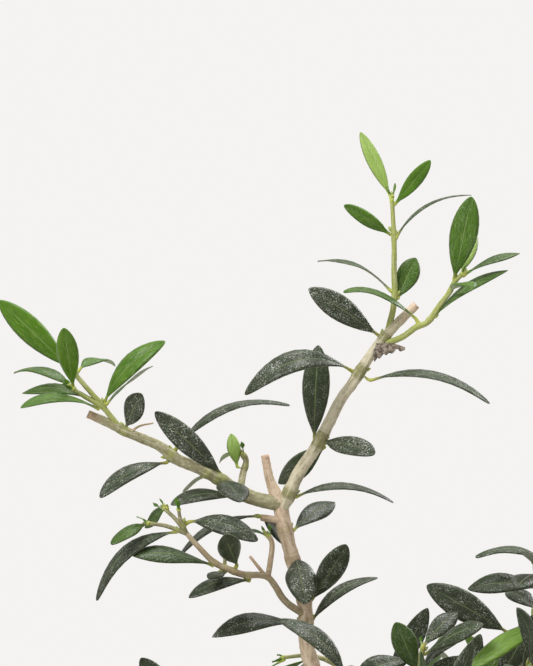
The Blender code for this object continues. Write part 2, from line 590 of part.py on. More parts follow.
def make_screen(name, x, parts):
    """A square of drainage mesh over one hole: a grid with open cells, thickened."""
    bm = bmesh.new()
    bmesh.ops.create_grid(bm, x_segments=SCREEN_CELLS, y_segments=SCREEN_CELLS,
                          size=SCREEN_SIDE / 2 * MM)
    cell = SCREEN_SIDE / SCREEN_CELLS * MM
    half = SCREEN_CELLS // 2
    spots = [(f, round(f.calc_center_median().x / cell) + half,
              round(f.calc_center_median().y / cell) + half) for f in bm.faces]
    open_cells = [f for f, i, j in spots if i % 2 and j % 2]
    bmesh.ops.delete(bm, geom=open_cells, context="FACES")
    low = FOOT_HEIGHT + FLOOR + GAP
    bmesh.ops.translate(bm, verts=bm.verts, vec=(x * MM, 0, low * MM))
    screen = mesh_object(name, bm, parts)
    solid = screen.modifiers.new("thickness", "SOLIDIFY")
    solid.thickness = SCREEN_THICK * MM
    solid.offset = 1.0
    return paint(screen, "mesh", MESH_GREEN, 0.5)


def soil_height(x, y):
    """Height of the soil, which falls from the middle of the pot to its wall."""
    reach = (2 * x / POT_LENGTH) ** 2 + (2 * y / POT_DEPTH) ** 2
    return SOIL_TOP - SOIL_FALL * min(1.0, reach)


def make_soil(parts, pieces):
    """Soil that fills the pot, with a plain hole for the trunk and seats over the screens."""
    slack = RIM_OUT + WALL + GAP
    low = FOOT_HEIGHT + FLOOR + GAP
    span = POT_HEIGHT + 1 - FOOT_HEIGHT - FLOOR
    flare = POT_FLARE * (SOIL_TOP - SOIL_FALL - low) / span
    soil = block("soil", POT_LENGTH - 2 * slack, POT_DEPTH - 2 * slack, low,
                 SOIL_TOP - SOIL_FALL, POT_CORNER - WALL, flare, parts)
    bm = bmesh.new()
    bm.from_mesh(soil.data)
    lid = max(bm.faces, key=lambda f: f.calc_center_median().z)
    for share in SOIL_RINGS:
        bmesh.ops.inset_region(bm, faces=[lid], thickness=0.01 * MM)
        for vert in lid.verts:
            vert.co.x *= share
            vert.co.y *= share
    for vert in bm.verts:
        if vert.co.z > low * MM:
            vert.co.z = soil_height(vert.co.x / MM, vert.co.y / MM) * MM
    for vert in lid.verts:
        vert.co.z = SOIL_TOP * MM
    bm.to_mesh(soil.data)
    bm.free()
    hole = post("hole", TRUNK[0][0] + TREE_X, TRUNK[0][1] + TREE_Y,
                SOIL_TOP - PLUG_DEPTH - HOLE_ROOM, SOIL_TOP + 10, PLUG_RADIUS + HOLE_ROOM, 24,
                pieces)
    boolean(soil, "DIFFERENCE", hole)
    for x in (-DRAIN_X, DRAIN_X):
        seat = block("seat", SCREEN_SIDE + 2 * GAP, SCREEN_SIDE + 2 * GAP, low - 1,
                     low + SCREEN_THICK + 2 * GAP, 0.5, 0, pieces)
        seat.data.transform(seat.matrix_world.Translation((x * MM, 0, 0)))
        boolean(soil, "DIFFERENCE", seat)
    return paint(soil, "soil", SOIL_BROWN, 0.95)


def make_trunk(parts, pieces):
    """Trunk with root flare, low boughs and pruning stubs, standing in the soil's hole."""
    trunk = tube("trunk", TRUNK, 2, TRUNK_SIDES_RES, parts)
    for vert in trunk.data.vertices:
        vert.co.z = max(vert.co.z, (SOIL_TOP + GAP) * MM)
        height = vert.co.z / MM
        if height < FLUTE_TOP:
            axis = min(smooth(TRUNK, 4), key=lambda p: abs(p.z - height))
            centre = place(axis.xyz)
            turn = math.atan2(vert.co.y - centre.y, vert.co.x - centre.x)
            deep = FLUTE_DEPTH * (1 - (height - SOIL_TOP) / (FLUTE_TOP - SOIL_TOP))
            swell = 1 + deep * math.cos(FLUTE_COUNT * turn + height / 30)
            vert.co.x = centre.x + (vert.co.x - centre.x) * swell
            vert.co.y = centre.y + (vert.co.y - centre.y) * swell
    foot_x, foot_y = TRUNK[0][0], TRUNK[0][1]
    post("plug", foot_x + TREE_X, foot_y + TREE_Y, SOIL_TOP - PLUG_DEPTH, SOIL_TOP + 6,
         PLUG_RADIUS, 16, pieces)
    for number, angle in enumerate(ROOT_ANGLES):
        turn = math.radians(angle)
        long = 33 + 5 * math.sin(number * 2.1)
        thick = 5.4 + 1.2 * math.cos(number * 1.7)
        path = []
        for reach, radius in ((7, thick + 2), (16, thick), (24, thick * 0.75), (long, 2.0)):
            x = foot_x + reach * math.cos(turn + reach / 90)
            y = foot_y + reach * math.sin(turn + reach / 90)
            lift = 12 * max(0.0, 1 - reach / 18)
            path.append((x, y, SOIL_TOP + 0.5 + radius + lift, radius))
        root = tube("root", path, 1, BOUGH_SIDES_RES, pieces)
        for vert in root.data.vertices:
            vert.co.z = max(vert.co.z, (SOIL_TOP + GAP) * MM)
    for path in BOUGHS.values():
        tube("bough", path, 1, BOUGH_SIDES_RES, pieces)
    for start, end, radius in SCARS:
        tube("scar", [(*start, radius * 1.15), (*end, radius)], 1, BOUGH_SIDES_RES, pieces)
    fuse(trunk, pieces)
    return paint(trunk, "bark", BARK_BROWN, 0.85)


def parent_path(name):
    """Path and tube settings of the wood that carries a stem."""
    if name == "trunk":
        return TRUNK, 2, TRUNK_SIDES_RES
    if name in BOUGHS:
        return BOUGHS[name], 1, BOUGH_SIDES_RES
    return next(stem.wood[0] for stem in STEMS if stem.name == name), 2, BOUGH_SIDES_RES


def make_stem(stem, leaves, parts, pieces):
    """A leafy stem: its wood and leaves in one solid, cut back from what carries it."""
    thick = BOUGH_SIDES_RES if stem.wood[0][0][3] > 2 else TWIG_SIDES_RES
    body = tube(stem.name, stem.wood[0], 2, thick, parts)
    for path in stem.wood[1:]:
        tube("twig", path, 1, TWIG_SIDES_RES, pieces)
    shown = len(stem.leaves)
    for number, leaf in enumerate(leaves):
        blade(leaf, BLADE_STATIONS if number < shown else SPRAY_STATIONS, pieces)
    fuse(body, pieces)
    path, steps, sides_res = parent_path(stem.parent)
    room = tube("room", path, steps, sides_res, pieces, GAP)
    boolean(body, "DIFFERENCE", room)
    return paint(body, "leaf", LEAF_GREEN, 0.5)


def main():
    """Clear the scene and build every piece."""
    for obj in list(bpy.data.objects):
        bpy.data.objects.remove(obj)
    parts = bpy.data.collections.new("olive_bonsai")
    pieces = bpy.data.collections.new("pieces")
    bpy.context.scene.collection.children.link(parts)
    bpy.context.scene.collection.children.link(pieces)
    make_pot(parts, pieces)
    make_screen("drainage_screen_left", -DRAIN_X, parts)
    make_screen("drainage_screen_right", DRAIN_X, parts)
    make_soil(parts, pieces)
    make_trunk(parts, pieces)
    grown = grow()
    for stem in STEMS:
        make_stem(stem, grown[stem.name], parts, pieces)
    bpy.data.collections.remove(pieces)


main()
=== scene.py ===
# %% [markdown]
# Olive bonsai: the looks
#
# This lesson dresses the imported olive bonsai. The frame is the CAD model of the tree in
# its pot. Each leafy stem there is a plain solid with a few dozen faces to a leaf. Here the
# same leaves and stems are grown again from the same table and the same random seeds, so
# that every fine leaf lies where its plain one lies.

# %% Load the frame and note its box
import math
import random
from collections import namedtuple

import bmesh
import bpy
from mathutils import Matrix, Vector, noise


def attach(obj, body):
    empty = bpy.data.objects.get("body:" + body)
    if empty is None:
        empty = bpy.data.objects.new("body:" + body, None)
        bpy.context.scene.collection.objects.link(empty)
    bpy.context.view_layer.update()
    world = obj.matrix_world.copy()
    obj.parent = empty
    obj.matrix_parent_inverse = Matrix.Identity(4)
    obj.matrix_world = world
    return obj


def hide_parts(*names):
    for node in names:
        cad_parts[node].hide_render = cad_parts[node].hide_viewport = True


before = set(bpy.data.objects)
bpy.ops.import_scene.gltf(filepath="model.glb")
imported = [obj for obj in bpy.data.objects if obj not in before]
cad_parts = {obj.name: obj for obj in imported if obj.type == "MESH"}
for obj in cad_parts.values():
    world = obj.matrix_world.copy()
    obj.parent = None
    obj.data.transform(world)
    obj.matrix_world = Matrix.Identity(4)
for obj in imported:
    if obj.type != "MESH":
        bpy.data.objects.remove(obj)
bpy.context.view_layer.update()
MM = 0.001
print("frame nodes:", len(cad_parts))


# %% [markdown]
# The tree as a table
#
# The table gives the wood as paths of points with a radius, in millimetres, and each leaf
# that the photograph shows by its root, its tip and the way that its upper face looks. The
# rest of the leaves follow the rule of the olive: they stand in pairs, and each pair is
# turned a quarter from the one below it. Listed coordinates are used for the leaves
# that are seen, because their places make the likeness, and a rule for those that aren't.

# %% Sizes, paths and leaves
POT_LENGTH, POT_DEPTH, POT_HEIGHT = 176.0, 128.0, 62.0
POT_CORNER, POT_FLARE = 22.0, 5.0
WALL, FLOOR = 6.0, 6.0
FOOT_HEIGHT, FOOT_LENGTH, FOOT_DEPTH = 8.0, 30.0, 20.0
RIM_HEIGHT, RIM_OUT = 6.0, 3.0
DRAIN_X, DRAIN_RADIUS = 42.0, 9.0
SOIL_TOP, SOIL_FALL = 58.0, 3.0
TREE_X, TREE_Y = -3.4, -4.25
FLUTE_COUNT, FLUTE_DEPTH, FLUTE_TOP = 5, 0.13, 112.0
ROOT_ANGLES = (8, 62, 118, 170, 221, 276, 322)

LEAF_CLEAR, WOOD_CLEAR = 3.2, 1.8
NODE_SPACING = 12.2
LEAF_LONG, LEAF_SHORT = 33.0, 23.0
LEAF_WIDTH = (7.6, 9.6)
TRIES = 40
WIDEST = 0.56
CEILING = [(-140, 195), (-40, 197), (12, 199), (20, 212), (44, 222), (56, 234), (66, 239)]

# Directions that the upper face of a leaf looks to
UP = (0.0, -0.3, 1.0)
FRONT = (0.0, -1.0, 0.15)
HALF = (0.0, -0.75, 0.65)

Leaf = namedtuple("Leaf", "heel root tip rise width face")
Stem = namedtuple("Stem", "name parent wood leaves leafy seed")

# Wood of the trunk: points are x, y, z and radius
TRUNK = [(4, 0, 58.4, 18), (3, -0.5, 68, 15.8), (0, -1, 84, 13.8), (-5, -2, 105, 12),
         (-6, -1, 128, 10.2), (-1, 1, 148, 7.5), (2, 3, 165, 5.4), (-2, 3, 182, 4.2),
         (-8, 2.5, 197, 3.3)]
BOUGHS = {
    "right_low": [(-2, 1, 143, 6), (14, -1, 158, 5.2), (30, -3, 173, 4.4), (46, -4, 189, 3.6),
                  (61, -5, 205, 2.9), (76, -6, 218, 2.3), (90, -7, 228, 1.9)],
    "left_low": [(-5, -1, 124, 6.5), (-22, -4, 136, 5.2), (-42, -7, 147, 4.2),
                 (-60, -8, 160, 3.3), (-76, -7, 173, 2.5), (-88, -6, 182, 1.9)],
    "back": [(0, 1, 150, 5), (5, 18, 162, 4.2), (9, 34, 174, 3.4), (8, 50, 187, 2.5),
             (5, 60, 194, 2)],
    "front": [(-4, -1, 136, 5), (0, -16, 146, 4), (6, -30, 158, 3.2), (13, -42, 171, 2.5),
              (19, -50, 182, 1.9)],
}
SCARS = [((-4, -2, 112), (14, -6, 118), 5.0), ((-3, 0, 132), (-6, 14, 139), 4.2),
         ((1, 2, 160), (-9, -4, 166), 3.2)]

# Leafy stems: the parent's path carries them. A leaf is root x, z, tip x, z, reach in y,
# rise of its arch, width and the direction that its upper face looks to.
# Leafy numbers wood paths that carry pairs of leaves, from a share of their length on.
STEMS = [
    Stem("leader", "trunk",
         [[(-5.5, 2.7, 191, 3.1), (-9, 2.3, 200, 2.8), (-11, 2, 208.7, 2.45),
           (-11.3, 1.5, 220.3, 2.35), (-14, 1, 230.3, 2.35), (-18, 0.5, 245.3, 2.45),
           (-19.7, 0, 253.7, 2.5), (-23, -0.5, 262, 1.6), (-24.7, -1, 270.3, 1.35)],
          [(-19, 0, 248.5, 1.4), (-26, -1.5, 249.5, 1.0)]],
         [(-15, 245.3, -1.3, 254, 16, 2, 8, (0, -0.7, 0.7)),
          (-25.7, 250, -17.5, 240.5, 12, 1, 7.5, (0.3, -0.8, 0.5)),
          (-27, 250, -54, 235.3, 4, 4.5, 8, (-0.45, -0.3, 0.84)),
          (-9, 222, 2.3, 241.3, -18, 2, 8.5, (0.2, -0.95, 0.3)),
          (-14.5, 236, -11.3, 221.5, -16, 3, 10.5, (0, -0.75, 0.65)),
          (-9, 214.7, 13.3, 228.7, 10, 4, 8, (-0.4, -0.45, 0.8)),
          (-13.5, 213.5, -42.3, 210, -8, 4.5, 9, (0, -0.6, 0.8))],
         [], 1),
    Stem("left_bough", "leader",
         [[(-19.9, 0, 254, 2.5), (-29.7, -3, 256.5, 2.4), (-39, -6, 262, 2.0),
           (-46.3, -8, 266, 1.9), (-54, -10, 269.3, 1.9), (-59.7, -11, 273.7, 1.7),
           (-69.7, -13, 278, 1.6), (-76.3, -14, 281.3, 1.5), (-83, -15, 284.3, 1.35)],
          [(-33, -4, 258.3, 1.3), (-32, 1, 264, 1.15), (-31, 3, 268, 1.0),
           (-32, 3.5, 270.5, 0.9)],
          [(-69.5, -13, 278, 0.9), (-66, -15, 280.3, 0.6), (-61.5, -17, 281.3, 0.45)]],
         [(-39, 264, -61, 285, -8, 3, 8, FRONT),
          (-53, 274, -16.3, 287, 2, 7, 9, (-0.28, -0.3, 0.95)),
          (-57.7, 268, -78.7, 257, -14, 4, 8, (-0.3, -0.7, 0.6)),
          (-39.5, 262, -32.5, 255.5, -18, 2, 10.5, (0.2, -0.75, 0.65)),
          (-35, 256.3, -55.7, 254.3, -12, 3, 8, (0, -0.55, 0.83)),
          (-43.7, 264, -52, 257.7, 12, 1, 5, UP),
          (-34, 266.7, -36, 277.3, 4, 0.5, 4.6, FRONT),
          (-31.7, 270, -40, 267.3, 8, 2.5, 4, UP),
          (-70.5, 280, -65, 291, -7, 1, 8.5, (-0.3, -0.9, 0.3))],
         [], 2),
    Stem("left_tip_shoot", "left_bough",
         [[(-72.5, -13.5, 279.5, 1.0), (-78.3, -15.5, 287, 0.9), (-85.7, -17, 295.7, 0.8),
           (-88.3, -18, 298.7, 0.65)],
          [(-78, -15.4, 286.5, 0.8), (-84, -18, 290, 0.7), (-87.7, -20, 292.7, 0.6)]],
         [(-88.5, 299, -112, 321.7, -6, 3, 8.5, FRONT),
          (-87.7, 293.5, -90, 312.7, -16, 2, 7.2, FRONT),
          (-85.7, 299, -74.7, 300, 14, 3, 7, UP),
          (-88, 293, -108, 297.7, 12, 4, 7, (0, -0.35, 0.94)),
          (-80.3, 288.5, -105, 291, 4, 3.5, 7.5, (0, -0.45, 0.9)),
          (-79.7, 286, -104.3, 286.5, -16, 4, 7.5, (0, -0.45, 0.9)),
          (-77.3, 288.7, -57.3, 308.3, -8, 4.5, 8, (-0.5, -0.8, 0.3)),
          (-76.5, 288, -62, 300, 16, 1, 6, (-0.64, 0, 0.77))],
         [], 3),
    Stem("right_bough", "leader",
         [[(-19, -0.3, 252.5, 2.0), (-17, -1, 256.5, 2.3), (-13, -4, 265.3, 2.1),
           (-7, -7, 274.3, 2.0), (0.3, -9, 288.7, 1.85), (4.3, -10, 294.3, 1.8),
           (10.3, -11, 303.7, 1.75), (17, -12, 312, 1.65), (25.3, -13, 320.3, 1.4)],
          [(11.5, -11.3, 304.5, 1.3), (17, -12.3, 305.5, 1.0), (22, -13, 304.3, 0.5)]],
         [(-5, 273, -20.3, 260.5, 22, 1, 8, (0.2, -0.9, 0.3)),
          (-5.3, 275, 11.3, 271.3, -18, 2, 9, (0, -0.8, 0.6)),
          (-8.3, 276, -7, 307, -3, 3, 9.3, (-0.1, -1, 0.1)),
          (3.2, 299, -31.3, 290.7, -12, 11, 9.5, HALF),
          (11, 295.5, 49.3, 287.7, -8, 6, 8.5, (0.1, -0.35, 0.93)),
          (-14, 256.5, 18.3, 254.3, 4, 5, 8.5, (0, -0.27, 0.96)),
          (12.5, 310.5, -10.3, 325.7, -6, 3, 8.5, FRONT)],
         [], 4),
    Stem("top_upright_shoot", "right_bough",
         [[(15.5, -11.5, 309.5, 1.15), (18, -12, 321, 1.0), (18, -12, 332, 0.95),
           (18, -11.5, 342, 0.85), (17.3, -11, 356, 0.65)]],
         [(16.7, 356.5, 7, 377.7, 6, 1, 5, FRONT),
          (18.4, 353.7, 29.7, 367.7, -10, 1, 5, (0.2, -1, 0.2)),
          (16.6, 343.7, 1.3, 353, -10, 1, 5, (-0.2, -0.9, 0.3)),
          (19, 343, 44, 356.7, 6, 4.5, 7, (-0.5, -0.1, 0.86)),
          (19.3, 322.5, 25.3, 336, 7, 1, 7.5, (0.1, -0.9, 0.4)),
          (16.5, 325.3, -7.3, 334.7, 5, 3.5, 7.5, (0.3, -0.12, 0.94))],
         [], 5),
    Stem("top_right_shoot", "right_bough",
         [[(13.5, -11.5, 307, 1.1), (20.3, -14, 309.5, 1.05), (25.3, -14.8, 313, 1.0),
           (29, -15.4, 314.7, 1.0), (33, -16, 320.3, 0.9), (36, -16.5, 324.3, 0.85),
           (37.7, -16.5, 327.7, 0.75), (40.3, -17, 330.3, 0.6)]],
         [(24.8, 316, 1, 324.3, -8, 4.5, 7.5, (-0.2, -0.4, 0.9)),
          (37.6, 328.8, 43, 355.7, -8, 2, 9.3, FRONT),
          (40.3, 331, 45, 345.7, 12, 1, 5.5, FRONT),
          (41.3, 330.3, 59.7, 337.3, 6, 1.5, 6, UP),
          (30.5, 315.5, 55.7, 331.7, 2, 3, 8, (-0.4, -0.35, 0.85)),
          (36.5, 325, 43, 326, -20, 2, 7, UP)],
         [], 6),
    Stem("lower_left_twig", "leader",
         [[(-11.5, 1.5, 217, 1.7), (-18, -5, 222, 1.5), (-23.7, -8, 230, 1.4),
           (-31.3, -11, 231, 1.4), (-36, -13, 232.7, 1.4), (-41.3, -15, 235.3, 1.3),
           (-46.3, -17, 240.3, 1.2), (-50.7, -18, 245.3, 1.0)],
          [(-23.7, -8, 230, 1.2), (-22.3, -8, 240.3, 1.1), (-23.3, -8, 243.7, 0.9)],
          [(-24.5, -8, 230.5, 0.8), (-29.7, -8, 237, 0.55)],
          [(-50, -17.8, 244.8, 0.8), (-57, -19, 247.5, 0.7), (-63, -21, 248.5, 0.6)],
          [(-50.5, -17.9, 245, 0.8), (-54, -16, 249.5, 0.7), (-57.7, -15, 253, 0.6)],
          [(-50.5, -17.9, 245, 0.8), (-52.5, -20, 250, 0.65), (-53, -21, 253, 0.55)],
          [(-38, -13.8, 233.3, 0.7), (-37.8, -12, 240.3, 0.5)]],
         [(-49, 249, -27, 243, -6, 4, 8.5, (0.1, -0.8, 0.6)),
          (-24.2, 243.9, -35.7, 242.3, 12, 2, 6, UP),
          (-34, 234.5, -38, 245.3, -20, 1, 8, FRONT),
          (-30, 229, -49.7, 224, -10, 3, 8, (-0.1, -0.5, 0.86)),
          (-38, 232, -43, 230.5, -12, 1, 5, (0, -0.6, 0.8)),
          (-42, 234.3, -68.7, 238.3, -10, 3, 8, (0, -0.65, 0.76)),
          (-54, 245.5, -80, 223, -2, 7, 9, (-0.5, -0.5, 0.7)),
          (-57, 254, -64.5, 246.5, 7, 1, 5.5, HALF),
          (-64, 248.3, -75, 242, -8, 1, 5, HALF)],
         [], 7),
    Stem("right_shoot", "right_low",
         [[(61, -5, 205, 1.4), (64, -9, 214, 1.1), (65.5, -10, 225, 1.0),
           (65, -11, 236, 0.85), (69, -12, 247, 0.7)],
          [(65.3, -10, 222, 0.9), (76, -10, 233, 0.8), (83, -9, 245, 0.6)]],
         [(66, 237, 44.7, 237, -4, 3, 8, UP),
          (64.6, 234, 61, 239.5, -16, 1, 6.5, HALF),
          (65.3, 231, 57, 228, -22, 2, 8, HALF),
          (65.5, 226.5, 42.7, 226, 6, 3, 8.5, HALF),
          (65, 219.5, 56, 224.7, 14, 2, 7, HALF),
          (55.3, 212, 28.7, 227.7, -6, 3, 10, FRONT)],
         [(0, 0.28), (1, 0.35)], 8),
    Stem("front_shoot", "front",
         [[(13, -42, 171, 1.4), (20, -34, 186, 1.2), (25, -28, 199, 1.0), (27, -25, 208, 0.8)],
          [(21, -32.8, 188.5, 1.0), (10, -30, 194, 0.8), (3, -27, 198, 0.6)]],
         [(25, 200.5, 17.7, 217, -8, 2, 8.2, FRONT),
          (27.3, 208.5, 38.7, 219, 10, 2, 7, HALF),
          (28, 206, 46.3, 216.3, -12, 3, 7.5, HALF),
          (23, 204, 4.5, 198.5, -10, 3, 8.5, HALF),
          (1.5, 199, -20.3, 217.3, 2, 5.5, 8.5, (0.5, -0.7, 0.5))],
         [(0, 0.28), (1, 0.35)], 9),
    Stem("right_front_spray", "right_low",
         [[(44, -4, 187, 1.5), (51, -17, 193, 1.1), (57, -31, 198, 0.9), (61, -43, 203, 0.7)],
          [(51, -17, 193, 1.0), (47, -25, 197, 0.8), (39, -32, 198, 0.6)],
          [(53, -22, 195, 1.0), (66, -27, 200, 0.8), (76, -32, 206, 0.6)]],
         [(38.7, 198.5, 65, 215.5, 4, 3, 7.5, HALF)],
         [(0, 0.28), (1, 0.35), (2, 0.35)], 10),
    Stem("right_tip_spray", "right_low",
         [[(84, -6.7, 223.5, 1.4), (93, -12, 232, 1.0), (98, -16, 242, 0.85),
           (100, -18, 251, 0.65)],
          [(91.5, -11, 230, 1.0), (100, -5, 232, 0.8), (107, 1, 233, 0.6)]],
         [],
         [(0, 0.28), (1, 0.35)], 11),
    Stem("right_under_spray", "right_low",
         [[(63, -5, 206.5, 1.4), (73, 5, 208, 1.1), (86, 14, 207, 0.9), (98, 20, 204, 0.7)],
          [(78, 8.5, 208, 0.9), (84, 22, 214, 0.8), (86, 33, 220, 0.6)]],
         [],
         [(0, 0.28), (1, 0.35)], 12),
    Stem("right_back_spray", "right_low",
         [[(28, -3, 171, 1.5), (37, 14, 179, 1.2), (45, 30, 185, 1.0), (51, 46, 190, 0.8)],
          [(43, 26, 183.5, 1.0), (56, 31, 190, 0.8), (68, 33, 196, 0.6)]],
         [],
         [(0, 0.28), (1, 0.35)], 13),
    Stem("right_lower_spray", "right_low",
         [[(32, -3, 175, 1.4), (46, -14, 174, 1.1), (60, -22, 176, 0.9), (74, -27, 179, 0.7)],
          [(58, -21, 175.6, 0.9), (70, -12, 180, 0.8), (82, -6, 187, 0.6)]],
         [],
         [(0, 0.28), (1, 0.35)], 14),
    Stem("left_low_tip_spray", "left_low",
         [[(-82, -6.5, 177.5, 1.4), (-92, -9, 183, 1.0), (-99, -12, 188, 0.85),
           (-105, -14, 192, 0.65)],
          [(-87, -8, 182.5, 1.0), (-95, -1, 182, 0.8), (-101, 5, 180, 0.6)]],
         [],
         [(0, 0.28), (1, 0.35)], 15),
    Stem("left_low_front_spray", "left_low",
         [[(-58, -8, 158.5, 1.5), (-64, -24, 165, 1.1), (-67, -39, 170, 0.9),
           (-68, -51, 175, 0.7)],
          [(-64.5, -26, 166, 1.0), (-77, -31, 172, 0.8), (-87, -35, 179, 0.6)],
          [(-65.5, -31, 167.5, 1.0), (-54, -38, 172, 0.8), (-45, -45, 178, 0.6)]],
         [],
         [(0, 0.28), (1, 0.35), (2, 0.35)], 16),
    Stem("left_low_back_spray", "left_low",
         [[(-40, -7, 146, 1.5), (-48, 12, 155, 1.2), (-54, 29, 163, 1.0), (-58, 44, 170, 0.8)],
          [(-52, 23, 160, 1.0), (-64, 28, 168, 0.8), (-75, 30, 177, 0.6)]],
         [],
         [(0, 0.28), (1, 0.35)], 17),
    Stem("left_low_up_spray", "left_low",
         [[(-48, -7.5, 151, 1.5), (-49, -3, 165, 1.1), (-51, 0, 178, 0.9), (-55, 2, 188, 0.7)],
          [(-49.5, -2, 168, 1.0), (-41, 5, 177, 0.8), (-36, 10, 186, 0.6)]],
         [(-54, 186, -66, 203, -6, 2, 8, FRONT)],
         [(0, 0.28), (1, 0.35)], 18),
    Stem("back_left_spray", "back",
         [[(8, 30, 171, 1.5), (-8, 41, 179, 1.1), (-23, 50, 186, 0.9), (-36, 56, 190, 0.7)],
          [(-15, 45, 182.5, 1.0), (-24, 34, 190, 0.8), (-32, 27, 194, 0.6)]],
         [],
         [(0, 0.28), (1, 0.35)], 19),
    Stem("back_right_spray", "back",
         [[(8.2, 47, 184.5, 1.4), (19, 57, 189, 1.0), (31, 64, 191, 0.8), (42, 69, 190, 0.6)]],
         [],
         [(0, 0.28)], 20),
    Stem("back_tip_spray", "back",
         [[(6, 55, 191, 1.4), (-1, 64, 196, 1.0), (-9, 71, 198, 0.8), (-18, 76, 197, 0.6)]],
         [],
         [(0, 0.28)], 21),
    Stem("front_left_spray", "front",
         [[(0.5, -18, 148, 1.4), (-14, -28, 153, 1.1), (-27, -39, 160, 0.9),
           (-37, -49, 166, 0.7)],
          [(-18, -31.5, 155, 1.0), (-28, -24, 164, 0.8), (-37, -20, 173, 0.6)]],
         [],
         [(0, 0.28), (1, 0.35)], 22),
    Stem("front_tip_spray", "front",
         [[(15.5, -45.5, 175.5, 1.4), (12, -54, 183, 1.0), (5, -61, 190, 0.8),
           (-4, -66, 195, 0.6)],
          [(14, -50, 179.5, 1.0), (26, -58, 184, 0.8), (38, -63, 188, 0.6)]],
         [],
         [(0, 0.28), (1, 0.35)], 23),
]

print("stems in the table:", len(STEMS))


# %% [markdown]
# Growing the leaves
#
# A smooth curve through the points of a path gives the line of a stem. A leaf is a curved
# blade on three points, and its place along that curve gives its centre, its side and its
# normal. The rule tries leaves until one is clear of all that is placed before it. The
# draws come from one seed for each stem, so the tree is the same on each run.

# %% Curves, blades and the rule for pairs
def smooth(path, steps):
    """Points of a Catmull-Rom curve through the rows of path, steps to a stretch."""
    rows = [Vector(row) for row in path]
    rows = [rows[0] * 2 - rows[1]] + rows + [rows[-1] * 2 - rows[-2]]
    points = []
    for a, b, c, d in zip(rows, rows[1:], rows[2:], rows[3:]):
        for k in range(steps):
            t = k / steps
            points.append(0.5 * (2 * b + (c - a) * t + (2 * a - 5 * b + 4 * c - d) * t ** 2
                                 + (3 * b - a - 3 * c + d) * t ** 3))
    return points + [rows[-2]]


def along(path, t):
    """Point at the fraction t of the length of a smoothed path."""
    points = [p.xyz for p in smooth(path, 6)]
    steps = [(b - a).length for a, b in zip(points, points[1:])]
    left = t * sum(steps)
    for a, b, step in zip(points, points[1:], steps):
        if left <= step:
            return a.lerp(b, left / step), (b - a).normalized()
        left -= step
    return points[-1], (points[-1] - points[-2]).normalized()


def leaf_frame(leaf, t):
    """Centre, side and normal of a blade at t, from 0 at the root to 1 at the tip."""
    face = Vector(leaf.face).normalized()
    bend = (leaf.root + leaf.tip) / 2 + face * 2 * leaf.rise
    centre = leaf.root * (1 - t) ** 2 + bend * 2 * t * (1 - t) + leaf.tip * t ** 2
    run = ((bend - leaf.root) * (1 - t) + (leaf.tip - bend) * t).normalized()
    side = run.cross(face).normalized()
    return centre, side, side.cross(run)


def half_width(leaf, t):
    """Half the width of a blade at t: a long taper from the stalk and a blunt tip."""
    if t < WIDEST:
        return leaf.width / 2 * math.sin(math.pi / 2 * t / WIDEST)
    return leaf.width / 2 * math.cos(math.pi / 2 * (t - WIDEST) / (1 - WIDEST)) ** 0.6


def leaf_samples(leaf):
    """Points on the midrib and both edges, for clearances."""
    points = []
    for t in (0.12, 0.3, 0.48, 0.66, 0.84, 1.0):
        centre, side, normal = leaf_frame(leaf, t)
        reach = half_width(leaf, min(t, 0.999)) * side
        points += [centre, centre + reach, centre - reach]
    return points


def shown_leaf(row, wood):
    """A listed leaf: its heel is the point of the stem's wood nearest its root."""
    root_x, root_z, tip_x, tip_z, reach, rise, width, face = row
    points = [p for path in wood for p in smooth(path, 6)[1:-1]]
    heel = min(points, key=lambda p: (p.x - root_x) ** 2 + (p.z - root_z) ** 2).xyz
    root = Vector((root_x, heel.y, root_z))
    tip = Vector((tip_x, heel.y + reach, tip_z))
    return Leaf(heel, root, tip, rise, width, face)


def ceiling(x):
    """The ceiling's height at x."""
    for (x0, z0), (x1, z1) in zip(CEILING, CEILING[1:]):
        if x0 <= x < x1:
            return z0 + (z1 - z0) * (x - x0) / (x1 - x0)
    return math.inf


def clear(leaf, leaves, wood):
    """True where a new leaf keeps its distance from leaves, wood and the ceiling."""
    own = leaf_samples(leaf)
    for point in own:
        if point.z > ceiling(point.x):
            return False
        if any((point - q).length < LEAF_CLEAR for q in leaves):
            return False
    return all((point - p.xyz).length > p.w + WOOD_CLEAR for point in own[3:] for p in wood)


def leaf_pairs(path, start, rng, leaves, wood):
    """Opposite pairs of leaves along a path, each pair turned a quarter from the last."""
    length = sum((b.xyz - a.xyz).length for a, b in zip(smooth(path, 6), smooth(path, 6)[1:]))
    count = max(2, round(length * (1 - start) / NODE_SPACING))
    turn = rng.uniform(0, math.pi)
    placed = []
    for k in range(count + 1):
        share = k / count
        heel, run = along(path, min(0.985, start + (1 - start) * share))
        turn += math.pi / 2 + rng.uniform(-0.3, 0.3)
        out = run.orthogonal().normalized()
        for half in (0, math.pi):
            leaf = pick_leaf(heel, run, out, turn + half, share, rng, leaves, wood)
            if leaf is not None:
                placed.append(leaf)
                leaves += leaf_samples(leaf)
    return placed


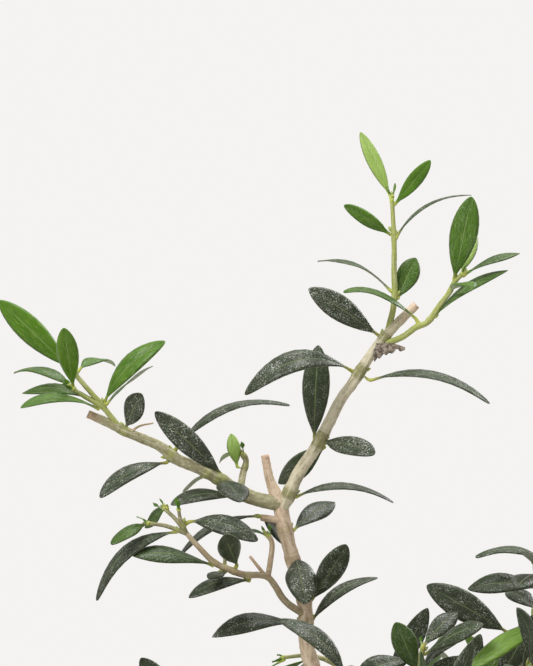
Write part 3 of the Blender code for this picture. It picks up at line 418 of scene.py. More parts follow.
def pick_leaf(heel, run, out, turn, share, rng, leaves, wood):
    """The first of some tries at a leaf that is clear of everything placed before it."""
    for attempt in range(TRIES):
        angle = turn + rng.uniform(-0.35, 0.35) * (1 + attempt / 8)
        away = out * math.cos(angle) + run.cross(out) * math.sin(angle)
        lean = math.radians(rng.uniform(48, 72) - 26 * share)
        way = run * math.cos(lean) + away * math.sin(lean) + Vector((0, 0, 0.18))
        way.normalize()
        size = (LEAF_LONG + (LEAF_SHORT - LEAF_LONG) * share) * rng.uniform(0.88, 1.12)
        size *= 1 - 0.25 * attempt / TRIES
        root = heel + way * 2.6
        tip = root + way * size - Vector((0, 0, rng.uniform(0.0, 3.5)))
        face = run - way * run.dot(way) + Vector((0, 0, 0.5))
        face -= way * face.dot(way)
        leaf = Leaf(heel, root, tip, rng.uniform(1.0, 3.6), rng.uniform(*LEAF_WIDTH),
                    tuple(face.normalized()))
        if clear(leaf, leaves, wood):
            return leaf
    return None


def grow():
    """Every leafy stem's leaves, listed ones first and pairs by rule after them."""
    paths = [TRUNK] + list(BOUGHS.values()) + [path for stem in STEMS for path in stem.wood]
    wood = [p for path in paths for p in smooth(path, 4)]
    grown = {stem.name: [shown_leaf(row, stem.wood) for row in stem.leaves] for stem in STEMS}
    leaves = [p for placed in grown.values() for leaf in placed for p in leaf_samples(leaf)]
    for stem in STEMS:
        rng = random.Random(stem.seed)
        for number, start in stem.leafy:
            grown[stem.name] += leaf_pairs(stem.wood[number], start, rng, leaves, wood)
    return grown


def place(point):
    """A table point, in millimetres, as a point of the part in metres."""
    return Vector((point[0] + TREE_X, point[1] + TREE_Y, point[2])) * MM


grown = grow()
print("leaves grown:", sum(len(leaves) for leaves in grown.values()))


# %% [markdown]
# Camera, light and floor
#
# The photograph was taken level with the crown, against a bright pale backdrop, and shows
# only its upper left part. One pixel is a third of a millimetre at the trunk. A long lens
# from 1.4 m gives the same flat perspective. The backdrop is the world itself. The floor
# takes the tree's soft shadow, and fades to the world's colour so that no horizon shows.

# %% Colour and node helpers
def linear(code):
    """A linear colour from an sRGB hex value."""
    channels = [int(code[k:k + 2], 16) / 255 for k in (1, 3, 5)]
    return tuple(c / 12.92 if c <= 0.04045 else ((c + 0.055) / 1.055) ** 2.4
                 for c in channels) + (1.0,)


def add(tree, kind, inputs, out=0, **settings):
    """One node: its settings, and its inputs in order or by key, from values or outputs."""
    node = tree.nodes.new(kind)
    for key, value in settings.items():
        setattr(node, key, value)
    for key, value in (inputs.items() if isinstance(inputs, dict) else enumerate(inputs)):
        if isinstance(value, bpy.types.NodeSocket):
            tree.links.new(value, node.inputs[key])
        else:
            node.inputs[key].default_value = value
    return node.outputs[out] if len(node.outputs) else node


print("leaf green in linear light:", [round(c, 3) for c in linear("#3c4a2e")])

# %% Camera at the photograph's frame
PIXEL = 1 / 3
FRAME_WIDE, FRAME_HIGH = 533, 666
LEFT_EDGE, TOP_EDGE = -113.0, 422.0
CAMERA_AWAY = 1400.0

camera_data = bpy.data.cameras.new("camera")
camera_data.sensor_width = 36.0
camera_data.lens = 36.0 * CAMERA_AWAY / (FRAME_HIGH * PIXEL)
camera_data.clip_end = 50.0
camera = bpy.data.objects.new("camera", camera_data)
bpy.context.scene.collection.objects.link(camera)
camera.location = place((LEFT_EDGE + FRAME_WIDE * PIXEL / 2, -CAMERA_AWAY,
                         TOP_EDGE - FRAME_HIGH * PIXEL / 2))
camera.rotation_euler = (math.radians(90), 0, 0)
bpy.context.scene.camera = camera
print("lens, mm:", round(camera_data.lens, 1))

# %% Pale world and soft lamps
BACKDROP = "#f5f3f1"
BACKDROP_LEVEL, AMBIENT_LEVEL = 1.0, 0.55

world = bpy.data.worlds.new("pale_backdrop")
bpy.context.scene.world = world
world.use_nodes = True
tree = world.node_tree
tree.nodes.clear()
seen = add(tree, "ShaderNodeLightPath", [], "Is Camera Ray")
level = add(tree, "ShaderNodeMapRange", [seen, 0.0, 1.0, AMBIENT_LEVEL, BACKDROP_LEVEL])
sky = add(tree, "ShaderNodeBackground", [linear(BACKDROP), level])
add(tree, "ShaderNodeOutputWorld", {"Surface": sky})
# The Standard view keeps the pale backdrop as bright as its colour says
bpy.context.scene.view_settings.view_transform = "Standard"


def soft_lamp(name, at, size, watts):
    """A square area lamp aimed at the crown."""
    data = bpy.data.lights.new(name, "AREA")
    data.size = size
    data.energy = watts
    lamp = bpy.data.objects.new(name, data)
    bpy.context.scene.collection.objects.link(lamp)
    lamp.location = at
    lamp.rotation_euler = (CROWN - Vector(at)).to_track_quat("-Z", "Y").to_euler()


CROWN = Vector((0.0, 0.0, 0.28))
soft_lamp("key_lamp", (-0.9, -1.1, 1.5), 0.7, 30)
soft_lamp("top_lamp", (0.3, 0.2, 1.7), 0.9, 24)
soft_lamp("rim_lamp", (0.9, 1.1, 0.9), 0.6, 10)
print("lamps:", len(bpy.data.lights))

# %% A floor that fades into the world
FLOOR_RADIUS = 14.0
FLOOR_DROP = 0.0006
FADE_FROM, FADE_TO = 0.25, 1.3

floor_bm = bmesh.new()
bmesh.ops.create_circle(floor_bm, cap_ends=True, segments=96, radius=FLOOR_RADIUS)
floor_mesh = bpy.data.meshes.new("floor")
floor_bm.to_mesh(floor_mesh)
floor_bm.free()
floor = bpy.data.objects.new("floor", floor_mesh)
floor.location.z = -FLOOR_DROP
bpy.context.scene.collection.objects.link(floor)

floor_paint = bpy.data.materials.new("floor_paint")
floor_paint.use_nodes = True
tree = floor_paint.node_tree
tree.nodes.clear()
spot = add(tree, "ShaderNodeTexCoord", [], "Object")
far = add(tree, "ShaderNodeVectorMath", [spot], "Value", operation="LENGTH")
fade = add(tree, "ShaderNodeMapRange", [far, FADE_FROM, FADE_TO], interpolation_type="SMOOTHSTEP")
matt = add(tree, "ShaderNodeBsdfDiffuse", [linear("#c9c6c3")])
glow = add(tree, "ShaderNodeEmission", [linear(BACKDROP), BACKDROP_LEVEL])
both = add(tree, "ShaderNodeMixShader", [fade, matt, glow])
add(tree, "ShaderNodeOutputMaterial", {"Surface": both})
floor_mesh.materials.append(floor_paint)
print("floor radius, m:", FLOOR_RADIUS)


# %% [markdown]
# What the surfaces are
#
# An olive leaf is leathery. Its upper face has a dark green waxy skin with tiny pale scales
# scattered over it, which gather to grey where it is seen at a slant. Its underside is felted
# with the same scales, so it is silvery. A pale midrib runs along it, and a thin pale margin
# runs round it. Young leaves are bright green with few scales. Each leaf carries its age,
# its side and its place on the blade as attributes and a UV map, so one material paints them
# all, and the pattern follows each blade.

# %% Paint helpers: washes over a ground, and the dress of a shader
def shaded(name):
    """A new material, its node tree and its Principled shader."""
    material = bpy.data.materials.new(name)
    material.use_nodes = True
    return material, material.node_tree, material.node_tree.nodes["Principled BSDF"]


def washes(tree, ground, *layers):
    """Lay colours over a ground, each where its pattern runs from low to high."""
    for pattern, low, high, most, colour in layers:
        share = add(tree, "ShaderNodeMapRange", [pattern, low, high, 0.0, most],
                    interpolation_type="SMOOTHSTEP")
        colour = linear(colour) if isinstance(colour, str) else colour
        ground = add(tree, "ShaderNodeMix", {0: share, 6: ground, 7: colour}, 2,
                     data_type="RGBA")
    return ground


def dress(tree, shader, skin, relief, strength, depth, roughness):
    """Give a shader its colour, a relief of some depth in millimetres and its roughness."""
    bump = add(tree, "ShaderNodeBump",
               {"Strength": strength, "Distance": depth * MM, "Height": relief})
    for socket, source in (("Base Color", skin), ("Normal", bump)):
        tree.links.new(source, shader.inputs[socket])
    shader.inputs["Roughness"].default_value = roughness


print("paint helpers: shaded, washes, dress")

# %% Leaf material
def leaf_skin():
    """Leathery olive leaf: waxy dark top with pale scales, silvery felt below."""
    # The wax gives a soft highlight above, and the felt is dull below
    material, tree, shader = shaded("leathery_leaf")
    spot = add(tree, "ShaderNodeTexCoord", [], "Object")
    blade = add(tree, "ShaderNodeUVMap", [], uv_map="blade")
    left, up_blade = [add(tree, "ShaderNodeSeparateXYZ", [blade], out) for out in (0, 1)]
    off = add(tree, "ShaderNodeMath", [left, 0.5], operation="SUBTRACT")
    across = add(tree, "ShaderNodeMath", [off], operation="ABSOLUTE")
    youth, below, dust = [add(tree, "ShaderNodeAttribute", [], "Fac", attribute_name=name)
                          for name in ("youth", "underside", "dust")]

    # Numbers are features to a millimetre: clouds of 6 mm, a film of 0.3 mm, scales of
    # 0.4 mm and dusty patches of 4 mm. Real scales are 0.15 mm wide, too fine to show in
    # the render, so they are drawn as coarse as they need to be to show.
    cloud, fine, scales, patches = [
        add(tree, "ShaderNodeTexNoise", {"Vector": spot, "Scale": count / MM, "Detail": detail,
                                         "Roughness": rough})
        for count, detail, rough in ((0.16, 3.0, 0.6), (3.6, 2.0, 0.7), (2.5, 2.0, 0.65),
                                     (0.26, 2.0, 0.5))]
    dark, fresh, bright, old_felt, young_felt = [
        add(tree, "ShaderNodeMix", {0: cloud, 6: linear(low), 7: linear(high)}, 2,
            data_type="RGBA")
        for low, high in (("#161f0e", "#2f3a23"), ("#305608", "#588115"),
                          ("#748f38", "#a3ba69"), ("#777d69", "#a2a695"),
                          ("#a3c07f", "#c2d6a4"))]
    film = add(tree, "ShaderNodeMath", [dust, 0.42], operation="MULTIPLY")
    most_scales = add(tree, "ShaderNodeMath", [dust, 0.9], operation="MULTIPLY")
    scaly = add(tree, "ShaderNodeMapRange", [patches, 0.3, 0.7, 0.0, most_scales],
                interpolation_type="SMOOTHSTEP")
    # Fine grooves run along a young blade, 9 to its length and 34 to its width. They have no
    # relief: their pale streaks on young blades are a painted highlight on the ridges, and their
    # dark streaks on every blade are painted shade in the grooves.
    stretched = add(tree, "ShaderNodeMapping", {"Vector": blade, "Scale": (34.0, 9.0, 1.0)})
    groove = add(tree, "ShaderNodeTexNoise", {"Vector": stretched, "Scale": 1.0, "Detail": 4.0,
                                              "Roughness": 0.7})
    painted_groove_highlight = add(tree, "ShaderNodeMapRange", [youth, 0.1, 0.45, 0.0, 0.42],
              interpolation_type="SMOOTHSTEP")
    # The last two washes are the grooves' painted highlight and painted shade
    top = washes(tree, dark, (youth, 0.15, 0.6, 1.0, fresh), (youth, 0.6, 1.0, 1.0, bright),
                 (fine, 0.45, 0.7, film, "#84887a"), (scales, 0.56, 0.62, scaly, "#c9ccc2"),
                 (groove, 0.5, 0.72, painted_groove_highlight, "#9fb765"), (groove, 0.5, 0.3, 0.4, "#16230c"))
    felt = washes(tree, old_felt, (youth, 0.2, 0.8, 1.0, young_felt))
    skin = add(tree, "ShaderNodeMix", {0: below, 6: top, 7: felt}, 2, data_type="RGBA")

    # The midrib fades towards the tip, the margin is pale and the stalk is yellowish
    old_rib, stalk = [
        add(tree, "ShaderNodeMix", {0: share, 6: linear(low), 7: linear(high)}, 2,
            data_type="RGBA")
        for share, low, high in ((below, "#626e4d", "#a9ab8a"), (youth, "#a3a250", "#b3c063"))]
    rib = add(tree, "ShaderNodeMix", {0: youth, 6: old_rib, 7: linear("#86a552")}, 2,
              data_type="RGBA")
    fading = add(tree, "ShaderNodeMapRange", [up_blade, 0.55, 1.0, 0.8, 0.1],
                 interpolation_type="SMOOTHSTEP")
    skin = washes(tree, skin, (across, 0.035, 0.01, fading, rib),
                  (across, 0.465, 0.497, 0.55, "#9da283"), (up_blade, 0.10, -0.02, 1.0, stalk))

    # Side veins lean towards the tip, and the midrib is sunk
    wander = add(tree, "ShaderNodeMath", [patches, 0.16, up_blade], operation="MULTIPLY_ADD")
    lean = add(tree, "ShaderNodeMath", [across, -0.55, wander], operation="MULTIPLY_ADD")
    turns = add(tree, "ShaderNodeMath", [lean, 60.0], operation="MULTIPLY")
    veins = add(tree, "ShaderNodeMath", [turns], operation="SINE")
    relief = add(tree, "ShaderNodeMath", [veins, 0.14, cloud], operation="MULTIPLY_ADD")
    sunk = add(tree, "ShaderNodeMapRange", [across, 0.01, 0.035, -1.2, 0.0],
               interpolation_type="SMOOTHSTEP")
    relief = add(tree, "ShaderNodeMath", [relief, sunk], operation="ADD")
    dress(tree, shader, skin, relief, 0.5, 0.3, 0.38)
    dull = add(tree, "ShaderNodeMapRange", [below, 0.0, 1.0, 0.38, 0.8])
    tree.links.new(dull, shader.inputs["Roughness"])
    shader.inputs["IOR"].default_value = 1.38
    shader.inputs["Specular IOR Level"].default_value = 0.32
    shader.inputs["Sheen Weight"].default_value = 0.06
    shader.inputs["Sheen Roughness"].default_value = 0.35
    return material


leaf_material = leaf_skin()
print("material:", leaf_material.name)

# %% [markdown]
# Bark, green stems and cut wood
#
# Olive bark on boughs of this age is a thin grey-beige skin with an olive tinge, fine streaks
# along the wood and small raised pores. Shoots of this year are green and smooth, with paler
# ridges. The stubs are sawn or clipped, and their ends have turned pinkish brown.

# %% Bark of boughs and green shoots
def bark_skin():
    """Thin olive bark: beige and grey patches, streaks along the stem and raised pores."""
    # Dry bark scatters light, so it is matt and its streaks and pores carry the look
    material, tree, shader = shaded("olive_bark")
    spot = add(tree, "ShaderNodeTexCoord", [], "Object")
    stem_map = add(tree, "ShaderNodeUVMap", [], uv_map="stem")
    # 13 streaks round a stem, each about 8 mm long, patches of 8 mm and pores of 1 mm
    stretched = add(tree, "ShaderNodeMapping", {"Vector": stem_map, "Scale": (13.0, 130.0, 1.0)})
    streak = add(tree, "ShaderNodeTexNoise", {"Vector": stretched, "Scale": 1.0, "Detail": 4.0,
                                              "Roughness": 0.6})
    patch, grain = [
        add(tree, "ShaderNodeTexNoise", {"Vector": spot, "Scale": count / MM, "Detail": detail,
                                         "Roughness": rough})
        for count, detail, rough in ((0.12, 3.0, 0.5), (0.9, 4.0, 0.65))]
    age, blush = [add(tree, "ShaderNodeAttribute", [], "Fac", attribute_name=name)
                  for name in ("age", "blush")]
    green, olive, beige, grey, dying = [
        add(tree, "ShaderNodeMix", {0: share, 6: linear(low), 7: linear(high)}, 2,
            data_type="RGBA")
        for share, low, high in (
            (streak, "#7c873c", "#b3b96f"), (patch, "#6c6a45", "#99956d"),
            (patch, "#aba184", "#ddd5bd"), (patch, "#857a68", "#b8ad99"),
            (patch, "#b08b73", "#e2c3ab"))]
    skin = washes(tree, green, (age, 0.0, 0.33, 1.0, olive), (age, 0.33, 0.66, 1.0, beige),
                  (age, 0.7, 1.0, 1.0, grey))
    lines = add(tree, "ShaderNodeMapRange", [streak, 0.36, 0.62, blush, 1.0],
                interpolation_type="SMOOTHSTEP")
    pink = add(tree, "ShaderNodeMath", [blush, lines], operation="MULTIPLY")
    skin = add(tree, "ShaderNodeMix", {0: pink, 6: skin, 7: dying}, 2, data_type="RGBA")
    old = add(tree, "ShaderNodeMapRange", [age, 0.1, 0.4, 0.0, 0.5],
              interpolation_type="SMOOTHSTEP")
    skin = washes(tree, skin, (streak, 0.5, 0.7, 0.6, "#66603f"),
                  (streak, 0.48, 0.3, 0.45, "#dcd6c2"), (grain, 0.54, 0.7, old, "#d6cfb8"),
                  (grain, 0.45, 0.3, old, "#4a4131"))
    relief = add(tree, "ShaderNodeMath", [streak, 0.7, grain], operation="MULTIPLY_ADD")
    dress(tree, shader, skin, relief, 0.6, 0.5, 0.72)
    shader.inputs["Specular IOR Level"].default_value = 0.3
    return material


bark_material = bark_skin()
print("material:", bark_material.name)


# %% [markdown]
# Old bark and cut wood
#
# On the trunk the bark is decades old. It has split into grey-brown plates with dark furrows
# between them, which run up the trunk. Cell edges drawn long make the furrows, and noise drawn
# long makes the strands on the plates. Cut wood shows its rings, so each cut carries its
# distance from the middle, and a sine of that distance draws them.

# %% Old bark of the trunk
def old_bark_skin():
    """Old trunk bark: grey-brown plates between dark furrows that run up the trunk."""
    # Its light ridges and dark furrows make the trunk look rough and old
    material, tree, shader = shaded("trunk_bark")
    spot = add(tree, "ShaderNodeTexCoord", [], "Object")
    # Lines sway over 11 mm, and everything along the trunk is five times as long as wide
    sway = add(tree, "ShaderNodeTexNoise", {"Vector": spot, "Scale": 0.09 / MM, "Detail": 3.0}, 1)
    push = add(tree, "ShaderNodeVectorMath", {0: sway, "Scale": 16 * MM}, operation="SCALE")
    bent = add(tree, "ShaderNodeVectorMath", [spot, push], operation="ADD")
    long = add(tree, "ShaderNodeMapping", {"Vector": bent, "Scale": (1.0, 1.0, 0.2)})
    furrow = add(tree, "ShaderNodeTexVoronoi", {"Vector": long, "Scale": 0.3 / MM}, "Distance",
                 feature="DISTANCE_TO_EDGE")
    # Strands of 2 mm, patches of 17 mm and grain of 1 mm
    strands, patch, grain = [
        add(tree, "ShaderNodeTexNoise", {"Vector": way, "Scale": count / MM, "Detail": 4.0,
                                         "Roughness": rough})
        for way, count, rough in ((long, 0.42, 0.6), (bent, 0.06, 0.6), (spot, 0.9, 0.7))]
    loose = add(tree, "ShaderNodeMapRange", [patch, 0.35, 0.6], interpolation_type="SMOOTHSTEP")
    flaky = add(tree, "ShaderNodeMapRange", [furrow, 0.12, 0.0, 0.0, loose],
                interpolation_type="SMOOTHSTEP")
    plate = washes(tree, linear("#6f6758"), (patch, 0.35, 0.65, 1.0, "#a59c87"),
                   (strands, 0.52, 0.72, 0.5, "#c9c2ae"), (strands, 0.48, 0.3, 0.6, "#514838"),
                   (grain, 0.52, 0.75, 0.35, "#cfc8b6"))
    dark = add(tree, "ShaderNodeMath", [flaky, 0.7], operation="MULTIPLY")
    skin = add(tree, "ShaderNodeMix", {0: dark, 6: plate, 7: linear("#40372c")}, 2,
               data_type="RGBA")
    ropes = add(tree, "ShaderNodeMath", [strands, 1.6], operation="MULTIPLY")
    relief = add(tree, "ShaderNodeMath", [ropes, flaky], operation="SUBTRACT")
    relief = add(tree, "ShaderNodeMath", [grain, 0.5, relief], operation="MULTIPLY_ADD")
    dress(tree, shader, skin, relief, 0.8, 0.7, 0.85)
    return material


trunk_material = old_bark_skin()
print("material:", trunk_material.name)


# %% Cut wood
def cut_wood_skin():
    """End grain that has dried to greyish brown, with rings."""
    # Dry end grain is matt, and its rings show that the stub was cut
    material, tree, shader = shaded("dry_cut_wood")
    spot = add(tree, "ShaderNodeTexCoord", [], "Object")
    out = add(tree, "ShaderNodeAttribute", [], "Fac", attribute_name="ring")
    # Grain of 0.7 mm and stains of 4 mm
    grain, stain = [add(tree, "ShaderNodeTexNoise", {"Vector": spot, "Scale": count / MM,
                                                     "Detail": 3.0}) for count in (1.4, 0.24)]
    wavy = add(tree, "ShaderNodeMath", [stain, 0.25, out], operation="MULTIPLY_ADD")
    turns = add(tree, "ShaderNodeMath", [wavy, 48.0], operation="MULTIPLY")
    rings = add(tree, "ShaderNodeMath", [turns], operation="SINE")
    skin = washes(tree, linear("#8f745f"), (stain, 0.35, 0.65, 1.0, "#bfa48b"),
                  (rings, 0.0, 1.0, 0.35, "#6e5240"), (out, 0.8, 1.0, 0.6, "#5c4636"),
                  (grain, 0.56, 0.7, 0.3, "#d5c2ab"))
    dress(tree, shader, skin, grain, 0.5, 0.3, 0.8)
    return material


cut_material = cut_wood_skin()
print("material:", cut_material.name)

# %% [markdown]
# Fine leaves
#
# A real blade is about half a millimetre thick, with its margin rolled down, a groove over
# the midrib and the rib standing out below. One grid, rolled into a flat tube, gives both
# faces and the stalk in one closed skin: its columns go round the blade and its rows go from
# the heel on the stem, along the stalk, to the tip.

# %% One blade from a rolled grid
CLIPPED = {("leader", 0), ("left_bough", 0), ("right_bough", 0), ("left_bough", 2),
           ("lower_left_twig", 2), ("leader", 1)}
COLUMNS = 16
STALK_ROWS, BLADE_ROWS = 4, (15)
ROWS = STALK_ROWS + BLADE_ROWS
STALK_RADIUS = 0.55
BLADE_THICK = 0.30
RIB_DEEP = 0.28
MARGIN_ROLL = 0.16
MERGE_DISTANCE = 0.000004   # In metres, as the mesh is
HIGH_CROWN, LEANS_BACK = 172, 0.1


def blade_shares():
    """Shares along the blade, closer together near its two ends."""
    return [0.5 - 0.5 * math.cos(math.pi * (k / BLADE_ROWS) ** 0.95)
            for k in range(BLADE_ROWS + 1)]


SHARES = blade_shares()


def blade_row(leaf, t, fold, wave):
    """Positions round the blade at t, in table millimetres."""
    centre, side, normal = leaf_frame(leaf, t)
    flat = min(1.0, max(0.0, t / 0.12))
    half = max(STALK_RADIUS * (1 - 0.3 * flat), half_width(leaf, min(t, 0.9999)) * flat)
    lift = wave * math.sin(2.2 * math.pi * t) * flat
    points = []
    for column in range(COLUMNS):
        turn = math.pi - 2 * math.pi * column / COLUMNS
        round_x, round_z = math.cos(turn) * STALK_RADIUS, math.sin(turn) * STALK_RADIUS
        s = -1 + 2 * column / (COLUMNS / 2)
        if column > COLUMNS / 2:
            s = 1 - 2 * (column - COLUMNS / 2) / (COLUMNS / 2)
        body = BLADE_THICK / 2 * (1 - 0.6 * s * s)
        shape = half * (fold * abs(s) - MARGIN_ROLL * s ** 4) + lift * s
        if column == COLUMNS // 4:
            body -= 0.10
        if column == 3 * COLUMNS // 4:
            body += RIB_DEEP * (1 - t)
        high = shape + (body if column <= COLUMNS / 2 else -body)
        if column in (0, COLUMNS // 2):
            high = shape
        x = round_x * (1 - flat) + s * half * flat
        z = round_z * (1 - flat) + high * flat
        points.append(centre + side * x + normal * z)
    return points


def stalk_row(leaf, k):
    """Positions round the stalk at its row k, from the heel inside the stem to the blade."""
    side, normal = leaf_frame(leaf, 0.0)[1:]
    run = normal.cross(side).normalized()
    reach = (leaf.root - leaf.heel).length
    bend = leaf.root - run * reach * 0.5
    t = k / STALK_ROWS
    at = leaf.heel * (1 - t) ** 2 + bend * 2 * t * (1 - t) + leaf.root * t ** 2
    thick = STALK_RADIUS * (1.7 - 0.7 * t)
    points = []
    for column in range(COLUMNS):
        turn = math.pi - 2 * math.pi * column / COLUMNS
        points.append(at + side * math.cos(turn) * thick + normal * math.sin(turn) * thick)
    return points


def turned_to_light(leaf):
    """High leaves that lean back show their upper side to the front, where the light is."""
    return leaf.root.z > HIGH_CROWN and leaf_frame(leaf, 0.5)[2].y > LEANS_BACK


def add_blade(bm, leaf, youth, dust, fold, wave, turned):
    """One leaf in a bmesh, with its UV map and attributes."""
    grid = bmesh.ops.create_grid(bm, x_segments=COLUMNS, y_segments=ROWS, size=0.5)
    rows = [stalk_row(leaf, k) for k in range(STALK_ROWS)]
    rows += [blade_row(leaf, t, fold, wave) for t in SHARES]
    blade_map = bm.loops.layers.uv["blade"]
    marks = {}
    for vert in grid["verts"]:
        column = round((vert.co.x + 0.5) * COLUMNS)
        row = round((vert.co.y + 0.5) * ROWS)
        marks[vert] = (column, row)
    for face in {f for v in grid["verts"] for f in v.link_faces}:
        middle = sum(marks[v][0] for v in face.verts) / len(face.verts)
        below = (middle > COLUMNS / 2) != turned
        face[bm.faces.layers.float["underside"]] = 1.0 if below else 0.0
        face[bm.faces.layers.float["youth"]] = youth
        face[bm.faces.layers.float["dust"]] = dust
        face.smooth = True
        for loop in face.loops:
            column, row = marks[loop.vert]
            u = column / (COLUMNS / 2) if column <= COLUMNS / 2 else 2 - column / (COLUMNS / 2)
            v = (row - STALK_ROWS) / STALK_ROWS * 0.3
            if row >= STALK_ROWS:
                v = SHARES[row - STALK_ROWS]
            loop[blade_map].uv = (u, v)
    for vert, (column, row) in marks.items():
        at = rows[row][column % COLUMNS]
        if row == 0:
            at = leaf.heel
        if row == ROWS:
            at = leaf.tip
        vert.co = place(at)


def opening_pairs(stem, rng):
    """The two tiny leaves that still stand folded together at each growing tip."""
    pairs = []
    for number, path in enumerate(stem.wood):
        if (stem.name, number) in CLIPPED or path[-1][3] < 0.55:
            continue
        end, run = along(path, 1.0)
        out = run.orthogonal().normalized()
        spin = rng.uniform(0, math.pi)
        for half in (0, math.pi):
            away = (out * math.cos(spin + half) + run.cross(out) * math.sin(spin + half))
            root = end + run * 0.5 + away * 0.35
            tip = root + run * rng.uniform(2.8, 4.2) + away * rng.uniform(0.7, 1.6)
            pairs.append(Leaf(end, root, tip, -0.2, rng.uniform(1.1, 1.5), tuple(-away)))
    return pairs


def leaf_object(name, leaves, ages, dusts, seed, shown):
    """All the leaves of one stem as one object."""
    rng = random.Random(seed)
    bm = bmesh.new()
    bm.loops.layers.uv.new("blade")
    for layer in ("youth", "underside", "dust"):
        bm.faces.layers.float.new(layer)
    for number, (leaf, age, dust) in enumerate(zip(leaves, ages, dusts)):
        turned = number >= shown and turned_to_light(leaf)
        add_blade(bm, leaf, age, dust, rng.uniform(0.0, 0.19), rng.uniform(-0.5, 0.5), turned)
    bmesh.ops.remove_doubles(bm, verts=bm.verts, dist=MERGE_DISTANCE)
    bmesh.ops.recalc_face_normals(bm, faces=bm.faces)
    mesh = bpy.data.meshes.new(name)
    bm.to_mesh(mesh)
    bm.free()
    mesh.materials.append(leaf_material)
    obj = bpy.data.objects.new(name, mesh)
    bpy.context.scene.collection.objects.link(obj)
    return obj


print("faces in a blade:", COLUMNS * ROWS)

# %% [markdown]
# Stems, buds and cut ends
#
# A stem swells where its leaves stand, because that is where its buds are. A round stem is
# again a rolled grid, which keeps a UV map along it for the streaks of the bark. Its rings
# ride on a frame that is carried along the curve without twisting.

# %% Round stems from rolled grids
KNOT_SWELL, KNOT_REACH = 0.16, 1.6
FAR_FROM_KNOTS = 99.0
BUD_SHARE = 0.75
TORN = ("right_bough", 1)
STEM_AGE = {"leader": 0.68, "left_bough": 0.42, "right_bough": 0.6, "left_tip_shoot": 0.06,
            "top_upright_shoot": 0.04, "top_right_shoot": 0.0, "lower_left_twig": 0.4,
            "right_shoot": 0.2}
SLIM = {("lower_left_twig", 0): 0.78, ("lower_left_twig", 1): 0.82, ("left_bough", 2): 0.62,
        ("lower_left_twig", 2): 0.85}
BLUSH = {("leader", 0): 0.65, ("leader", 1): 0.7, ("left_bough", 2): 0.7,
         ("lower_left_twig", 0): 0.5, ("lower_left_twig", 1): 0.65,
         ("lower_left_twig", 2): 0.8, ("right_bough", 1): 0.9}


def carried_frames(points):
    """A side and a normal at each point, carried along the curve without twist."""
    runs = [(b - a).normalized() for a, b in zip(points, points[1:])]
    runs.append(runs[-1])
    side = runs[0].orthogonal().normalized()
    frames = []
    for run in runs:
        side = (side - run * side.dot(run)).normalized()
        frames.append((side, run.cross(side)))
    return frames


def add_stem(bm, path, sides, steps, knots, age, clipped, blush, clip_start, slim):
    """A tapered stem with swellings at its knots, closed at both ends."""
    line = smooth(path, steps)
    points = [p.xyz for p in line]
    frames = carried_frames(points)
    reach = [0.0]
    for a, b in zip(points, points[1:]):
        reach.append(reach[-1] + (b - a).length)
    rings = len(points) + 1
    grid = bmesh.ops.create_grid(bm, x_segments=sides, y_segments=rings, size=0.5)
    stem_map = bm.loops.layers.uv["stem"]
    marks = {}
    for vert in grid["verts"]:
        marks[vert] = (round((vert.co.x + 0.5) * sides), round((vert.co.y + 0.5) * rings))
    for face in {f for v in grid["verts"] for f in v.link_faces}:
        face.smooth = True
        rows = [marks[v][1] for v in face.verts]
        spot = points[min(max(rows[0] - 1, 0), len(points) - 1)]
        near = min(((spot - knot).length for knot in knots), default=FAR_FROM_KNOTS)
        face[bm.faces.layers.float["age"]] = age * (1 - 0.6 * math.exp(-(near / KNOT_REACH) ** 2))
        face.material_index = 1 if clipped and min(rows) >= rings - 1 else 0
        if face.material_index:
            face.smooth = False
        share = (sum(rows) / len(rows) / rings - clip_start) / (1 - clip_start)
        face[bm.faces.layers.float["blush"]] = max(blush, share if clipped else 0.0)
        for loop in face.loops:
            column, row = marks[loop.vert]
            at = reach[min(max(row - 1, 0), len(points) - 1)]
            loop[stem_map].uv = (column / sides, at * MM)
    for vert, (column, row) in marks.items():
        vert[bm.verts.layers.float["ring"]] = 0.0 if row == rings else 1.0
        k = min(max(row - 1, 0), len(points) - 1)
        radius = line[k].w * slim
        swell = 1 + 0.04 * noise.noise(points[k] * 0.35)
        near = min(((points[k] - knot).length for knot in knots), default=FAR_FROM_KNOTS)
        swell += KNOT_SWELL * math.exp(-(near / (radius * 0.7 + 0.4)) ** 2)
        turn = 2 * math.pi * (column % sides) / sides
        side, normal = frames[k]
        round_stem = Vector((math.cos(turn), math.sin(turn), 0))
        rough = 1 + 0.07 * noise.noise(points[k] * 0.8 + round_stem)
        spread = 0.0 if row in (0, rings) else radius * swell * rough
        at = points[k] + (side * math.cos(turn) + normal * math.sin(turn)) * spread
        if row == rings and not clipped:
            at += (points[-1] - points[-2]).normalized() * radius * 0.8
        vert.co = place(at)


def add_bud(bm, at, run, long, wide, age):
    """A pointed bud: a small sphere drawn out along the shoot."""
    made = bmesh.ops.create_uvsphere(bm, u_segments=8, v_segments=6, radius=1.0)
    turn = run.to_track_quat("Z", "Y")
    for vert in made["verts"]:
        taper = 1 - 0.45 * max(0.0, vert.co.z)
        local = Vector((vert.co.x * wide * taper, vert.co.y * wide * taper,
                        (vert.co.z + 0.7) * long / 2))
        vert.co = place(at + turn @ local)
    for face in {f for v in made["verts"] for f in v.link_faces}:
        face.smooth = True
        face[bm.faces.layers.float["age"]] = age


